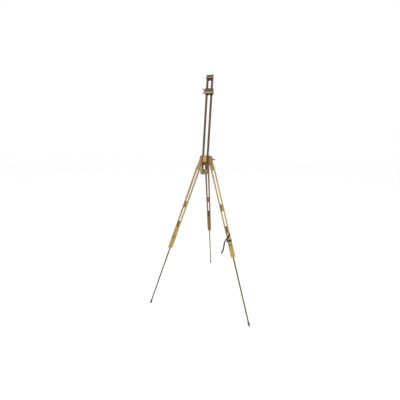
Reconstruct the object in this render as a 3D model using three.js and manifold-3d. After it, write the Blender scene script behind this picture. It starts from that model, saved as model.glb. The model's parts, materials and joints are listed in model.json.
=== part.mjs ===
import * as THREE from 'three';
import { mergeVertices } from 'three/addons/utils/BufferGeometryUtils.js';
import ManifoldModule from 'manifold-3d';

// A painter's folding field easel in beech. Two front legs and a slotted mast lie in one leaning
// plane, the front frame, and a rear leg props it from behind. Each leg is a pair of slats with
// a round rod that telescopes through a guide block. Millimetres, +Z up, canvas side towards -Y.

// ---- Driving dimensions ---------------------------------------------------------------------

const FRAME_LEAN = THREE.MathUtils.degToRad(8.2); // front frame, back from the vertical
const FRONT_SPLAY = THREE.MathUtils.degToRad(17.1); // each front leg, within the frame
const REAR_SPLAY = THREE.MathUtils.degToRad(21.4); // rear leg, from the vertical
const FRONT_REACH = 605; // rod shown below a front guide block, to the floor

const GAP = 0.3; // between faces that meet
const PLAY = 0.4; // around a shaft in its hole
const ROUND_SIDES = 24;

const LEG = {
  width: 34, // over both slats
  depth: 26,
  slatThickness: 10,
  shoulder: 70, // hinge pin to the tops of the slats
  tenonEnd: 92, // hinge pin to the end of the hinge block's tenon
  guideTenonTop: 612,
  guideTop: 690, // hinge pin to the shoulders of the guide block
  guideBottom: 826,
  bridgeTop: 375,
  bridgeHeight: 57,
  bridgeFront: 6.2, // the rod passes in front of the bridge
  boltDrop: 81,
  boltRadius: 2.5,
  screwDrop: 714,
  screwRadius: 3,
};

const GUIDE = { width: 35.4, depth: 28, cornerRadius: 9, tenonDepth: 24 };
const ROD = { radius: 6.6, offset: -2, spigot: 4.4, intoHead: 29 };
const ROD_HEAD = { top: 560, bottom: 605, front: -10.6, back: 5.6, bore: 30 };
const TIP = { radius: 8, length: 30, chamferHeight: 3, chamfer: 0.8, floorThickness: 12, trim: 8 };

const HEAD = {
  width: 94,
  top: 26,
  bottom: -48,
  corner: 6,
  plateThickness: 12,
  backThickness: 10,
  coreWidth: 38,
  layerDepth: 20, // thickness of the hinge blocks between the two plates
  earDepth: 28,
  earBottom: -20,
};

const HINGE = { pinX: 37, pinRadius: 3.2, blockHalfWidth: 13.5, blockDepth: 20, flareTop: 30, flareEnd: 62 };
const REAR_HINGE = { y: 34.6, z: 3, radius: 11, halfWidth: 17.7, boltRadius: 3.8, sidePlay: 0.7 };
const REAR_BOLT = { headRadius: 8.5, headHeight: 5, beyondEar: 19, washerRadius: 9 };

const MAST = { width: 50.6, rail: 14.6, depth: 18, top: 610, bottom: -125 };
const MAST_BLOCK = { inset: 1, topHeight: 33, bottomHeight: 16 };
const TOP_BAR = { overhang: 3, depth: 10, height: 8, drop: 19 };
const TONGUE = { sidePlay: 0.5, depth: 14, top: 25, bottom: -28 };
const CLAMP = { z: -4, studRadius: 3.8, studLength: 43, studInHead: 5, boreInCore: 6 };
const TOGGLE = { width: 26, height: 50, thickness: 12, cornerRadius: 5, bore: 8 };
const WASHER_THICKNESS = 2;

const HOLDER = { bottom: 478, top: 512, width: 62, cheek: 5.4, frontPlate: 6, backPlate: 9, screwZ: 500 };
const HOLDER_BAR = { depth: 10, height: 9, lipDrop: 6, lipThickness: 4, lipInset: 4 };
const HOLDER_TONGUE = { sidePlay: 0.5, frontInset: 2, endInset: 2 };
const REST = { width: 53, boltZ: -98, bottom: -125, shelfTop: -90, lipTop: -84, shelfDepth: 21, lip: 6 };
const REST_FOOT = { depth: 16, top: -113, undercut: -104 };
const REST_BOLT = {
  radius: 3,
  headRadius: 4.5,
  headHeight: 3,
  boreRadius: 5.2,
  headDepth: 15,
  beyond: 16,
  washerRadius: 13,
};
const STRAP = { width: 12, thickness: 1.8, clearance: 0.6, outerCorner: 3, innerCorner: 1.5 };
const STRAP_TURN = { upperDrop: 646, upperSlope: 1.05, lowerDrop: 680 };
const BUCKLE = { width: 15, height: 20, depth: 8, corner: 2.5, at: [-31.5, -12.5, -674], turn: 33 };
const STRAP_TAIL = { thickness: 2.4, edgeRadius: 0.8 };

// Depth stations of the front frame, from the legs' middle plane outwards.
const FRONT_PLATE_BACK = -(HEAD.layerDepth / 2 + GAP);
const FRONT_PLATE_FACE = FRONT_PLATE_BACK - HEAD.plateThickness;
const MAST_BACK = FRONT_PLATE_FACE - GAP;
const MAST_FACE = MAST_BACK - MAST.depth;
const BACK_PLATE_FRONT = HEAD.layerDepth / 2 + GAP;
const BACK_PLATE_FACE = BACK_PLATE_FRONT + HEAD.backThickness;
const EAR_FRONT = BACK_PLATE_FACE + GAP;
const SLOT_HALF = MAST.width / 2 - MAST.rail;

const HEAD_HEIGHT = (LEG.guideBottom + FRONT_REACH) * Math.cos(FRONT_SPLAY) * Math.cos(FRAME_LEAN);

// ---- Finishes ---------------------------------------------------------------------------------

const finish = (color, roughness, metalness = 0) =>
  new THREE.MeshStandardMaterial({ color, roughness, metalness });

const PALE_BEECH = finish(0xd9c7a2, 0.55);
const GOLDEN_BEECH = finish(0xb9965c, 0.5);
const MAST_BEECH = finish(0x8a6238, 0.55);
const HEAD_BEECH = finish(0xc6954f, 0.5);
const DARK_STEEL = finish(0x55534e, 0.4, 0.9);
const BLACK_RUBBER = finish(0x2b2b2b, 0.8);
const BLACK_WEBBING = finish(0x141416, 0.85);

// ---- Solids -----------------------------------------------------------------------------------

const wasm = await ManifoldModule();
wasm.setup();

/** A closed geometry as a solid that can be cut and joined. */
function asSolid(geometry) {
  const bare = geometry.clone();
  bare.deleteAttribute('normal');
  bare.deleteAttribute('uv');
  const merged = mergeVertices(bare, 1e-4);
  return new wasm.Manifold(new wasm.Mesh({
    numProp: 3,
    vertProperties: Float32Array.from(merged.attributes.position.array),
    triVerts: Uint32Array.from(merged.index.array),
  }));
}

/** A solid back as a geometry. */
function asGeometry(solid) {
  const { vertProperties, triVerts } = solid.getMesh();
  const geometry = new THREE.BufferGeometry();
  geometry.setAttribute('position', new THREE.BufferAttribute(vertProperties, 3));
  geometry.setIndex(new THREE.BufferAttribute(triVerts, 1));
  geometry.computeVertexNormals();
  return geometry;
}

/** The first geometry with the others cut out of it. */
function cut(geometry, ...tools) {
  const solid = tools.reduce((left, tool) => left.subtract(asSolid(tool)), asSolid(geometry));
  return asGeometry(solid);
}

/** Several overlapping geometries as one. */
function join(geometry, ...others) {
  return asGeometry(others.reduce((sum, other) => sum.add(asSolid(other)), asSolid(geometry)));
}

/** A rectangular block between low and high corners. */
function block([x0, y0, z0], [x1, y1, z1]) {
  const box = new THREE.BoxGeometry(x1 - x0, y1 - y0, z1 - z0);
  return box.translate((x0 + x1) / 2, (y0 + y1) / 2, (z0 + z1) / 2);
}

/** Turns a shape made along +Z so that it runs along the named axis. */
function alongAxis(geometry, axis) {
  if (axis === 'x') return geometry.rotateY(Math.PI / 2);
  if (axis === 'y') return geometry.rotateX(-Math.PI / 2);
  if (axis === '-y') return geometry.rotateX(Math.PI / 2);
  if (axis === '-x') return geometry.rotateY(-Math.PI / 2);
  return geometry;
}

/** A round bar along an axis, starting at a point. */
function roundBar(axis, radius, length, [x, y, z], sides = ROUND_SIDES) {
  const bar = new THREE.CylinderGeometry(radius, radius, length, sides);
  bar.rotateX(Math.PI / 2).translate(0, 0, length / 2);
  return alongAxis(bar, axis).translate(x, y, z);
}

/** A turned piece: (radius, station) pairs revolved about an axis, starting at a point. */
function turned(axis, profile, [x, y, z], sides = ROUND_SIDES) {
  const points = profile.map(([radius, station]) => new THREE.Vector2(radius, station));
  const lathe = new THREE.LatheGeometry(points, sides).rotateX(Math.PI / 2);
  return alongAxis(lathe, axis).translate(x, y, z);
}

/** An outline in X and Z, extruded along Y between two stations. */
function plateXZ(shape, y0, y1, curveSegments = 6) {
  const plate = new THREE.ExtrudeGeometry(shape, { depth: y1 - y0, bevelEnabled: false, curveSegments });
  return plate.rotateX(Math.PI / 2).translate(0, y1, 0);
}

/** An outline in Y and Z, extruded along X between two stations. */
function plateYZ(shape, x0, x1, curveSegments = 6) {
  const plate = new THREE.ExtrudeGeometry(shape, { depth: x1 - x0, bevelEnabled: false, curveSegments });
  const turn = new THREE.Matrix4().makeBasis(
    new THREE.Vector3(0, 1, 0), new THREE.Vector3(0, 0, 1), new THREE.Vector3(1, 0, 0));
  return plate.applyMatrix4(turn).translate(x0, 0, 0);
}

/** A rectangle whose four corners are rounded. */
function roundedRectangle(x0, z0, x1, z1, radius) {
  const shape = new THREE.Shape();
  shape.absarc(x1 - radius, z1 - radius, radius, 0, Math.PI / 2);
  shape.absarc(x0 + radius, z1 - radius, radius, Math.PI / 2, Math.PI);
  shape.absarc(x0 + radius, z0 + radius, radius, Math.PI, Math.PI * 1.5);
  shape.absarc(x1 - radius, z0 + radius, radius, Math.PI * 1.5, Math.PI * 2);
  return shape;
}

/** A named piece. */
function piece(name, geometry, material) {
  const mesh = new THREE.Mesh(geometry, material);
  mesh.name = name;
  return mesh;
}

// ---- Hardware ---------------------------------------------------------------------------------

/** One ear of a wing nut: an upswept leaf in X and Z, on the side given by sign. */
function wingLeaf(sign, hubRadius, hubLength, halfSpan, height) {
  const shape = new THREE.Shape();
  shape.moveTo(sign * hubRadius * 0.5, 1);
  shape.lineTo(sign * (hubRadius + 2), 1);
  shape.quadraticCurveTo(sign * halfSpan, height * 0.25, sign * halfSpan, height * 0.7);
  shape.quadraticCurveTo(sign * halfSpan, height, sign * (halfSpan - 4), height);
  shape.quadraticCurveTo(sign * (halfSpan - 9), height, sign * (hubRadius + 1), hubLength * 0.8);
  shape.lineTo(sign * hubRadius * 0.5, hubLength * 0.8);
  return shape;
}

/** A wing nut along +Z with its seat at Z = 0; a bore of zero leaves it solid for a wing screw. */
function wingNut({ hubRadius, hubLength, span, height, thickness, bore }) {
  const hub = turned('z', [
    [0, 0],
    [hubRadius, 0],
    [hubRadius * 0.8, hubLength],
    [0, hubLength],
  ], [0, 0, 0], 16);
  const leaves = [-1, 1].map((sign) => {
    const outline = wingLeaf(sign, hubRadius * 0.8, hubLength, span / 2, height);
    return plateXZ(outline, -thickness / 2, thickness / 2, 4);
  });
  const body = join(hub, ...leaves);
  return bore > 0 ? cut(body, roundBar('z', bore, hubLength + 2, [0, 0, -1], 16)) : body;
}

/** A wing screw along +Z: the shank goes down from the seat at Z = 0. */
function wingScrew(size, shankRadius, shankLength) {
  const shank = roundBar('z', shankRadius, shankLength + 2, [0, 0, -shankLength], 16);
  return join(wingNut({ ...size, bore: 0 }), shank);
}

/** A flat washer along +Z with its lower face at Z = 0. */
function washer(inner, outer) {
  return turned('z', [
    [inner, 0],
    [outer, 0],
    [outer, WASHER_THICKNESS],
    [inner, WASHER_THICKNESS],
    [inner, 0],
  ], [0, 0, 0]);
}

/** A dome-headed bolt along +Z: the head is below Z = 0 and the shank runs above it. */
function domeBolt(headRadius, headHeight, shankRadius, shankLength) {
  return turned('z', [
    [0, -headHeight],
    [headRadius * 0.6, -headHeight * 0.85],
    [headRadius, -headHeight * 0.3],
    [headRadius, 0],
    [shankRadius, 0],
    [shankRadius, shankLength],
    [0, shankLength],
  ], [0, 0, 0], 20);
}

const LARGE_WING = { hubRadius: 7.5, hubLength: 13, span: 42, height: 24, thickness: 3.4 };
const SMALL_WING = { hubRadius: 6, hubLength: 10, span: 30, height: 17, thickness: 3 };
const REST_WING = { hubRadius: 6, hubLength: 9, span: 25, height: 15, thickness: 3 };

// ---- Head -------------------------------------------------------------------------------------

/** The head's outline with holes for the two hinge pins, and for the clamp stud if wanted. */
function headOutline(studHole) {
  const half = HEAD.width / 2;
  const shape = roundedRectangle(-half, HEAD.bottom, half, HEAD.top, HEAD.corner);
  const holes = [[-HINGE.pinX, 0, HINGE.pinRadius], [HINGE.pinX, 0, HINGE.pinRadius]];
  if (studHole) holes.push([0, CLAMP.z, CLAMP.studRadius]);
  for (const [x, z, radius] of holes) {
    const hole = new THREE.Path();
    hole.absarc(x, z, radius + PLAY, 0, Math.PI * 2);
    shape.holes.push(hole);
  }
  return shape;
}

/** One of the two ears behind the head that carry the rear leg's bolt. */
function headEar(x0, x1) {
  const back = EAR_FRONT + HEAD.earDepth;
  const outline = roundedRectangle(EAR_FRONT, HEAD.earBottom, back, HEAD.top, HEAD.corner);
  const hole = new THREE.Path();
  hole.absarc(REAR_HINGE.y, REAR_HINGE.z, REAR_HINGE.boltRadius + PLAY, 0, Math.PI * 2);
  outline.holes.push(hole);
  return plateYZ(outline, x0, x1);
}

/** The wooden head: two plates, the core between them and the ears behind. */
function buildHeadBlocks() {
  const coreHalf = HEAD.coreWidth / 2;
  const layerHalf = HEAD.layerDepth / 2;
  const earInner = REAR_HINGE.halfWidth + REAR_HINGE.sidePlay;
  const studHole = CLAMP.studRadius + PLAY;
  const core = cut(
    block([-coreHalf, -layerHalf, HEAD.bottom], [coreHalf, layerHalf, HEAD.top]),
    roundBar('y', studHole, 2 * CLAMP.boreInCore, [0, -layerHalf - CLAMP.boreInCore, CLAMP.z]));
  const tongueHalf = SLOT_HALF - TONGUE.sidePlay;
  const tongueFront = MAST_BACK - TONGUE.depth;
  const tongue = cut(
    block([-tongueHalf, tongueFront, TONGUE.bottom], [tongueHalf, MAST_BACK, TONGUE.top]),
    roundBar('y', studHole, 2 * TONGUE.depth, [0, tongueFront - TONGUE.depth / 2, CLAMP.z]));
  return [
    piece('head_front_plate', plateXZ(headOutline(true), FRONT_PLATE_FACE, FRONT_PLATE_BACK), HEAD_BEECH),
    piece('head_core', core, HEAD_BEECH),
    piece('head_back_plate', plateXZ(headOutline(false), BACK_PLATE_FRONT, BACK_PLATE_FACE), HEAD_BEECH),
    piece('head_ear_left', headEar(-HEAD.width / 2, -earInner), HEAD_BEECH),
    piece('head_ear_right', headEar(earInner, HEAD.width / 2), HEAD_BEECH),
    piece('mast_guide_tongue', tongue, HEAD_BEECH),
  ];
}

/** Pins, bolts, washers and nuts that belong to the head. */
function buildHeadHardware() {
  const earFace = HEAD.width / 2;
  const washerSeat = earFace + GAP;

  const pinFront = FRONT_PLATE_FACE + GAP;
  const pins = [['left', -1], ['right', 1]].map(([side, sign]) => piece(`hinge_pin_${side}`,
    roundBar('y', HINGE.pinRadius, BACK_PLATE_FACE - GAP - pinFront, [sign * HINGE.pinX, pinFront, 0]),
    DARK_STEEL));

  const boltLength = 2 * earFace + REAR_BOLT.beyondEar;
  const rearBolt = piece('rear_hinge_bolt',
    alongAxis(domeBolt(REAR_BOLT.headRadius, REAR_BOLT.headHeight, REAR_HINGE.boltRadius, boltLength), 'x'),
    DARK_STEEL);
  rearBolt.position.set(-earFace - GAP, REAR_HINGE.y, REAR_HINGE.z);

  const rearWasher = piece('rear_hinge_washer',
    alongAxis(washer(REAR_HINGE.boltRadius + PLAY, REAR_BOLT.washerRadius), 'x'), DARK_STEEL);
  rearWasher.position.set(washerSeat, REAR_HINGE.y, REAR_HINGE.z);

  const rearNut = piece('rear_hinge_wing_nut',
    alongAxis(wingNut({ ...LARGE_WING, bore: REAR_HINGE.boltRadius + PLAY }), 'x'), DARK_STEEL);
  rearNut.geometry.rotateX(Math.PI / 2);
  rearNut.position.set(washerSeat + WASHER_THICKNESS + GAP, REAR_HINGE.y, REAR_HINGE.z);

  const studBack = -HEAD.layerDepth / 2 + CLAMP.studInHead;
  const stud = piece('mast_clamp_stud',
    roundBar('-y', CLAMP.studRadius, CLAMP.studLength, [0, studBack, CLAMP.z]), DARK_STEEL);

  return [...pins, rearBolt, rearWasher, rearNut, stud, mastClampToggle()];
}

/** The wooden toggle that screws onto the stud and clamps both rails of the mast. */
function mastClampToggle() {
  const half = TOGGLE.width / 2;
  const reach = TOGGLE.height / 2;
  const outline = roundedRectangle(-half, -reach, half, reach, TOGGLE.cornerRadius);
  const bore = roundBar('y', CLAMP.studRadius + PLAY, 2 * TOGGLE.bore, [0, -TOGGLE.bore, 0]);
  const toggle = piece('mast_clamp_toggle', cut(plateXZ(outline, -TOGGLE.thickness, 0), bore), HEAD_BEECH);
  toggle.position.set(0, MAST_FACE - GAP, CLAMP.z);
  return toggle;
}

// ---- Legs -------------------------------------------------------------------------------------

/** The tenon of a hinge block, let in between the two slats and drilled for the slat bolt. */
function hingeTenon(halfDepth) {
  const half = LEG.width / 2 - LEG.slatThickness - GAP;
  return block([-half, -halfDepth, -LEG.tenonEnd], [half, halfDepth, -LEG.shoulder + 1]);
}

/** The hole for the bolt that holds both slats to the hinge block. */
function slatBoltHole() {
  return roundBar('x', LEG.boltRadius + PLAY, 2 * LEG.width, [-LEG.width, 0, -LEG.boltDrop], 16);
}

/** A front leg's hinge block: round-topped, flaring to the width of the slats. */
function frontHingeBlock() {
  const half = HINGE.blockHalfWidth;
  const outer = LEG.width / 2;
  const shape = new THREE.Shape();
  shape.absarc(0, 0, half, 0, Math.PI);
  shape.lineTo(-half, -HINGE.flareTop);
  shape.lineTo(-outer, -HINGE.flareEnd);
  shape.lineTo(-outer, -LEG.shoulder);
  shape.lineTo(outer, -LEG.shoulder);
  shape.lineTo(outer, -HINGE.flareEnd);
  shape.lineTo(half, -HINGE.flareTop);
  const halfDepth = HINGE.blockDepth / 2;
  const body = join(plateXZ(shape, -halfDepth, halfDepth), hingeTenon(halfDepth));
  const pinHole = roundBar('y', HINGE.pinRadius + PLAY, 2 * HINGE.blockDepth, [0, -HINGE.blockDepth, 0]);
  return cut(body, pinHole, slatBoltHole());
}

/** The rear leg's hinge block: round-topped about the cross bolt. */
function rearHingeBlock() {
  const shape = new THREE.Shape();
  shape.absarc(0, 0, REAR_HINGE.radius, 0, Math.PI);
  shape.lineTo(-REAR_HINGE.radius, -LEG.shoulder);
  shape.lineTo(REAR_HINGE.radius, -LEG.shoulder);
  const half = REAR_HINGE.halfWidth;
  const body = join(plateYZ(shape, -half, half), hingeTenon(REAR_HINGE.radius));
  const boltHole = roundBar('x', REAR_HINGE.boltRadius + PLAY, 4 * half, [-2 * half, 0, 0]);
  return cut(body, boltHole, slatBoltHole());
}

/** A slat, on the side given by sign, drilled for the slat bolt. */
function slat(sign) {
  const outer = LEG.width / 2;
  const inner = outer - LEG.slatThickness;
  const [x0, x1] = sign > 0 ? [inner, outer] : [-outer, -inner];
  const board = block([x0, -LEG.depth / 2, -LEG.guideTop + GAP], [x1, LEG.depth / 2, -LEG.shoulder - GAP]);
  return cut(board, slatBoltHole());
}

/** The bridge between the slats at mid height, at the back, where the rod passes in front. */
function slatBridge() {
  const half = LEG.width / 2 - LEG.slatThickness - GAP;
  const low = -LEG.bridgeTop - LEG.bridgeHeight;
  return block([-half, LEG.bridgeFront, low], [half, LEG.depth / 2, -LEG.bridgeTop]);
}

/** The guide block: a shouldered body with a long tenon, bored for the rod and its screw. */
function guideBlock() {
  const half = GUIDE.width / 2;
  const radius = GUIDE.cornerRadius;
  const bottom = -LEG.guideBottom;
  const shape = new THREE.Shape();
  shape.moveTo(half, -LEG.guideTop);
  shape.lineTo(-half, -LEG.guideTop);
  shape.absarc(-half + radius, bottom + radius, radius, Math.PI, Math.PI * 1.5);
  shape.absarc(half - radius, bottom + radius, radius, Math.PI * 1.5, Math.PI * 2);
  const tenonHalf = LEG.width / 2 - LEG.slatThickness - GAP;
  const body = join(
    plateXZ(shape, -GUIDE.depth / 2, GUIDE.depth / 2),
    block([-tenonHalf, -GUIDE.tenonDepth / 2, -LEG.guideTop - 1],
      [tenonHalf, GUIDE.tenonDepth / 2, -LEG.guideTenonTop]));
  const bore = roundBar('z', ROD.radius + PLAY, LEG.guideBottom, [0, ROD.offset, bottom - GUIDE.depth]);
  const screwHole = roundBar('y', LEG.screwRadius + PLAY, GUIDE.depth / 2,
    [0, -GUIDE.depth / 2 - ROD.radius / 2, -LEG.screwDrop], 16);
  return cut(body, bore, screwHole);
}

/** The block on the rod's spigot that keeps it square and stops it on the guide block's tenon. */
function rodHead() {
  const half = LEG.width / 2 - LEG.slatThickness - PLAY;
  const body = block([-half, ROD_HEAD.front, -ROD_HEAD.bottom], [half, ROD_HEAD.back, -ROD_HEAD.top]);
  const boreStart = -ROD_HEAD.bottom - ROD_HEAD.bore;
  return cut(body, roundBar('z', ROD.spigot + GAP, 2 * ROD_HEAD.bore, [0, ROD.offset, boreStart]));
}

/** The rod from its foot to its shoulder, with the thinner spigot that goes into the head. */
function rodDowel(foot) {
  const shoulder = -ROD_HEAD.bottom - GAP;
  return join(
    roundBar('z', ROD.radius, shoulder - foot, [0, ROD.offset, foot]),
    roundBar('z', ROD.spigot, ROD.intoHead + 2 * GAP, [0, ROD.offset, shoulder - GAP]));
}

/** The rubber tip, bored for the rod, before its foot is cut level with the floor. */
function rubberTip(floor) {
  const inner = ROD.radius + GAP;
  return turned('z', [
    [0, -floor - TIP.trim],
    [TIP.radius, -floor - TIP.trim],
    [TIP.radius, -floor + TIP.length - TIP.chamferHeight],
    [TIP.radius - TIP.chamfer, -floor + TIP.length],
    [inner, -floor + TIP.length],
    [inner, -floor + TIP.floorThickness],
    [0, -floor + TIP.floorThickness],
  ], [0, ROD.offset, 0]);
}

/** Distance from a leg's hinge to the floor along its rod, once the leg is in place. */
function floorDistance(leg) {
  leg.updateWorldMatrix(true, false);
  const start = new THREE.Vector3(0, ROD.offset, 0).applyMatrix4(leg.matrixWorld);
  const down = new THREE.Vector3(0, 0, -1).transformDirection(leg.matrixWorld);
  return start.z / -down.z;
}

/** Cuts a tip level with the floor. */
function cutAtFloor(tip) {
  tip.updateWorldMatrix(true, false);
  const reach = LEG.guideBottom + FRONT_REACH;
  const ground = block([-reach, -reach, -reach], [reach, reach, 0]);
  ground.applyMatrix4(tip.matrixWorld.clone().invert());
  tip.geometry = cut(tip.geometry, ground);
}

/** One telescopic leg in its own frame: hinge at the origin, pointing down -Z. */
function buildLeg(name, leg, hingeBlock) {
  const bolt = piece(`${name}_slat_bolt`,
    alongAxis(domeBolt(2 * LEG.boltRadius, LEG.boltRadius, LEG.boltRadius, LEG.width + 2), 'x'), DARK_STEEL);
  bolt.position.set(-LEG.width / 2 - GAP, 0, -LEG.boltDrop);

  const shankLength = GUIDE.depth / 2 + ROD.offset - ROD.radius - PLAY;
  const screw = piece(`${name}_wing_screw`,
    alongAxis(wingScrew(SMALL_WING, LEG.screwRadius, shankLength), '-y'), DARK_STEEL);
  screw.position.set(0, -GUIDE.depth / 2 - GAP, -LEG.screwDrop);

  leg.add(
    piece(`${name}_hinge_block`, hingeBlock, PALE_BEECH),
    piece(`${name}_slat_left`, slat(-1), PALE_BEECH),
    piece(`${name}_slat_right`, slat(1), PALE_BEECH),
    piece(`${name}_slat_bridge`, slatBridge(), PALE_BEECH),
    piece(`${name}_guide_block`, guideBlock(), GOLDEN_BEECH),
    bolt,
    screw,
  );

  const floor = floorDistance(leg);
  const rod = rodDowel(-floor + TIP.floorThickness + GAP);
  const tip = piece(`${name}_rod_tip`, rubberTip(floor), BLACK_RUBBER);
  leg.add(
    piece(`${name}_rod`, rod, GOLDEN_BEECH),
    piece(`${name}_rod_head`, rodHead(), GOLDEN_BEECH),
    tip,
  );
  cutAtFloor(tip);
}

// ---- Mast, lower rest and upper holder ----------------------------------------------------------

/** The slotted mast: two rails, the blocks that close the slot, and the stop bar at the top. */
function buildMast() {
  const half = MAST.width / 2;
  const slot = SLOT_HALF - GAP;
  const blockFront = MAST_FACE + MAST_BLOCK.inset;
  const blockBack = MAST_BACK - MAST_BLOCK.inset;
  const topEnd = MAST.top - MAST_BLOCK.inset;
  const bottomEnd = MAST.bottom + MAST_BLOCK.inset;
  const barHalf = half + TOP_BAR.overhang;
  const barBack = MAST_FACE - GAP;
  const barTop = MAST.top - TOP_BAR.drop;
  return [
    piece('mast_rail_left',
      block([-half, MAST_FACE, MAST.bottom], [-SLOT_HALF, MAST_BACK, MAST.top]), MAST_BEECH),
    piece('mast_rail_right',
      block([SLOT_HALF, MAST_FACE, MAST.bottom], [half, MAST_BACK, MAST.top]), MAST_BEECH),
    piece('mast_top_block',
      block([-slot, blockFront, topEnd - MAST_BLOCK.topHeight], [slot, blockBack, topEnd]), MAST_BEECH),
    piece('mast_bottom_block',
      block([-slot, blockFront, bottomEnd], [slot, blockBack, bottomEnd + MAST_BLOCK.bottomHeight]),
      MAST_BEECH),
    piece('mast_top_bar',
      block([-barHalf, barBack - TOP_BAR.depth, barTop - TOP_BAR.height], [barHalf, barBack, barTop]),
      HEAD_BEECH),
  ];
}

/** The lower canvas rest: a shelf with a lip, bolted through the slot. */
function buildRest() {
  const half = REST.width / 2;
  const face = MAST_FACE - GAP;
  const lipBack = face - REST.shelfDepth;
  const lipFront = lipBack - REST.lip;
  const footFront = face - REST_FOOT.depth;
  const shape = new THREE.Shape();
  shape.moveTo(face, REST.bottom);
  shape.lineTo(face, REST.shelfTop);
  shape.lineTo(lipBack, REST.shelfTop);
  shape.lineTo(lipBack, REST.lipTop);
  shape.lineTo(lipFront, REST.lipTop);
  shape.lineTo(lipFront, REST_FOOT.undercut);
  shape.lineTo(footFront, REST_FOOT.top);
  shape.lineTo(footFront, REST.bottom);

  const hole = REST_BOLT.radius + PLAY;
  const boltHole = roundBar('y', hole, -lipFront, [0, lipFront - REST.lip, REST.boltZ], 16);
  const headSeat = face - REST_BOLT.headDepth - GAP;
  const counterbore = roundBar('y', REST_BOLT.boreRadius, REST.shelfDepth,
    [0, headSeat + GAP - REST.shelfDepth, REST.boltZ]);
  const shelf = piece('rest_shelf', cut(plateYZ(shape, -half, half), boltHole, counterbore), HEAD_BEECH);

  const boltLength = MAST_BACK + REST_BOLT.beyond - headSeat;
  const bolt = piece('rest_bolt',
    alongAxis(domeBolt(REST_BOLT.headRadius, REST_BOLT.headHeight, REST_BOLT.radius, boltLength), 'y'),
    DARK_STEEL);
  bolt.position.set(0, headSeat, REST.boltZ);

  const nutWasher = piece('rest_washer', alongAxis(washer(hole, REST_BOLT.washerRadius), 'y'), DARK_STEEL);
  nutWasher.position.set(0, MAST_BACK + GAP, REST.boltZ);

  const nut = piece('rest_wing_nut', alongAxis(wingNut({ ...REST_WING, bore: hole }), 'y'), DARK_STEEL);
  nut.position.set(0, MAST_BACK + WASHER_THICKNESS + 2 * GAP, REST.boltZ);
  return [shelf, bolt, nutWasher, nut];
}

/** The upper canvas holder: a saddle round both rails with a bar in front, and its wing screw. */
function buildHolder() {
  const half = HOLDER.width / 2;
  const inner = half - HOLDER.cheek;
  const plateBack = MAST_FACE - GAP;
  const plateFront = plateBack - HOLDER.frontPlate;
  const cheeks = [-1, 1].map((sign) => {
    const [x0, x1] = sign > 0 ? [inner, half] : [-half, -inner];
    return block([x0, plateFront, HOLDER.bottom], [x1, MAST_BACK, HOLDER.top]);
  });
  const plate = block([-half, plateFront, HOLDER.bottom], [half, plateBack, HOLDER.top]);
  const screwY = MAST_BACK - MAST.depth / 2;
  const screwHole = roundBar('x', LEG.screwRadius + PLAY, 4 * HOLDER.cheek,
    [-half - 2 * HOLDER.cheek, screwY, HOLDER.screwZ], 16);

  const barBack = plateFront - GAP;
  const barFront = barBack - HOLDER_BAR.depth;
  const lipHalf = half - HOLDER_BAR.lipInset;
  const bar = join(
    block([-half, barFront, HOLDER.bottom], [half, barBack, HOLDER.bottom + HOLDER_BAR.height]),
    block([-lipHalf, barFront, HOLDER.bottom - HOLDER_BAR.lipDrop],
      [lipHalf, barFront + HOLDER_BAR.lipThickness, HOLDER.bottom + 1]));

  const tongueHalf = SLOT_HALF - HOLDER_TONGUE.sidePlay;
  const slideFront = MAST_BACK + GAP;
  const slide = join(
    block([-half, slideFront, HOLDER.bottom], [half, slideFront + HOLDER.backPlate, HOLDER.top]),
    block([-tongueHalf, MAST_FACE + HOLDER_TONGUE.frontInset, HOLDER.bottom + HOLDER_TONGUE.endInset],
      [tongueHalf, slideFront + 1, HOLDER.top - HOLDER_TONGUE.endInset]));

  const screw = piece('holder_wing_screw',
    alongAxis(wingScrew(LARGE_WING, LEG.screwRadius, HOLDER.cheek - PLAY), '-x'), DARK_STEEL);
  screw.position.set(-half - GAP, screwY, HOLDER.screwZ);

  return [
    piece('holder_saddle', cut(join(plate, ...cheeks), screwHole), MAST_BEECH),
    piece('holder_front_bar', bar, HEAD_BEECH),
    piece('holder_slide_block', slide, MAST_BEECH),
    screw,
  ];
}

// ---- Strap --------------------------------------------------------------------------------------

/** A band of webbing round a leg, rising by slope across the leg's width. */
function strapLoop(drop, slope) {
  const halfWidth = LEG.width / 2 + STRAP.clearance;
  const halfDepth = LEG.depth / 2 + STRAP.clearance;
  const t = STRAP.thickness;
  const outer = roundedRectangle(
    -halfWidth - t, -halfDepth - t, halfWidth + t, halfDepth + t, STRAP.outerCorner);
  outer.holes.push(roundedRectangle(-halfWidth, -halfDepth, halfWidth, halfDepth, STRAP.innerCorner));
  const band = new THREE.ExtrudeGeometry(outer, { depth: STRAP.width, bevelEnabled: false, curveSegments: 3 });
  band.translate(0, 0, -drop - STRAP.width / 2);
  const rise = new THREE.Matrix4().set(1, 0, 0, 0, 0, 1, 0, 0, slope, 0, 1, 0, 0, 0, 0, 1);
  return band.applyMatrix4(rise);
}

// The free end's route in the leg's frame: out of the buckle, down, and outwards at its tip.
const STRAP_TAIL_ROUTE = [
  [-37.1, -12.5, -682.6],
  [-41.5, -12.9, -689.4],
  [-45.2, -14.1, -697.0],
  [-46.8, -14.8, -701.0],
  [-48.3, -15.5, -705.0],
  [-51.4, -16.9, -713.2],
  [-54.5, -18.1, -721.5],
  [-57.9, -19.0, -729.6],
  [-61.4, -19.6, -737.2],
  [-65.2, -20.0, -744.6],
  [-69.5, -20.2, -751.7],
  [-74.3, -20.2, -758.3],
  [-79.6, -20.0, -764.4],
  [-85.2, -19.8, -769.9],
  [-90.4, -19.6, -774.6],
];

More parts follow.
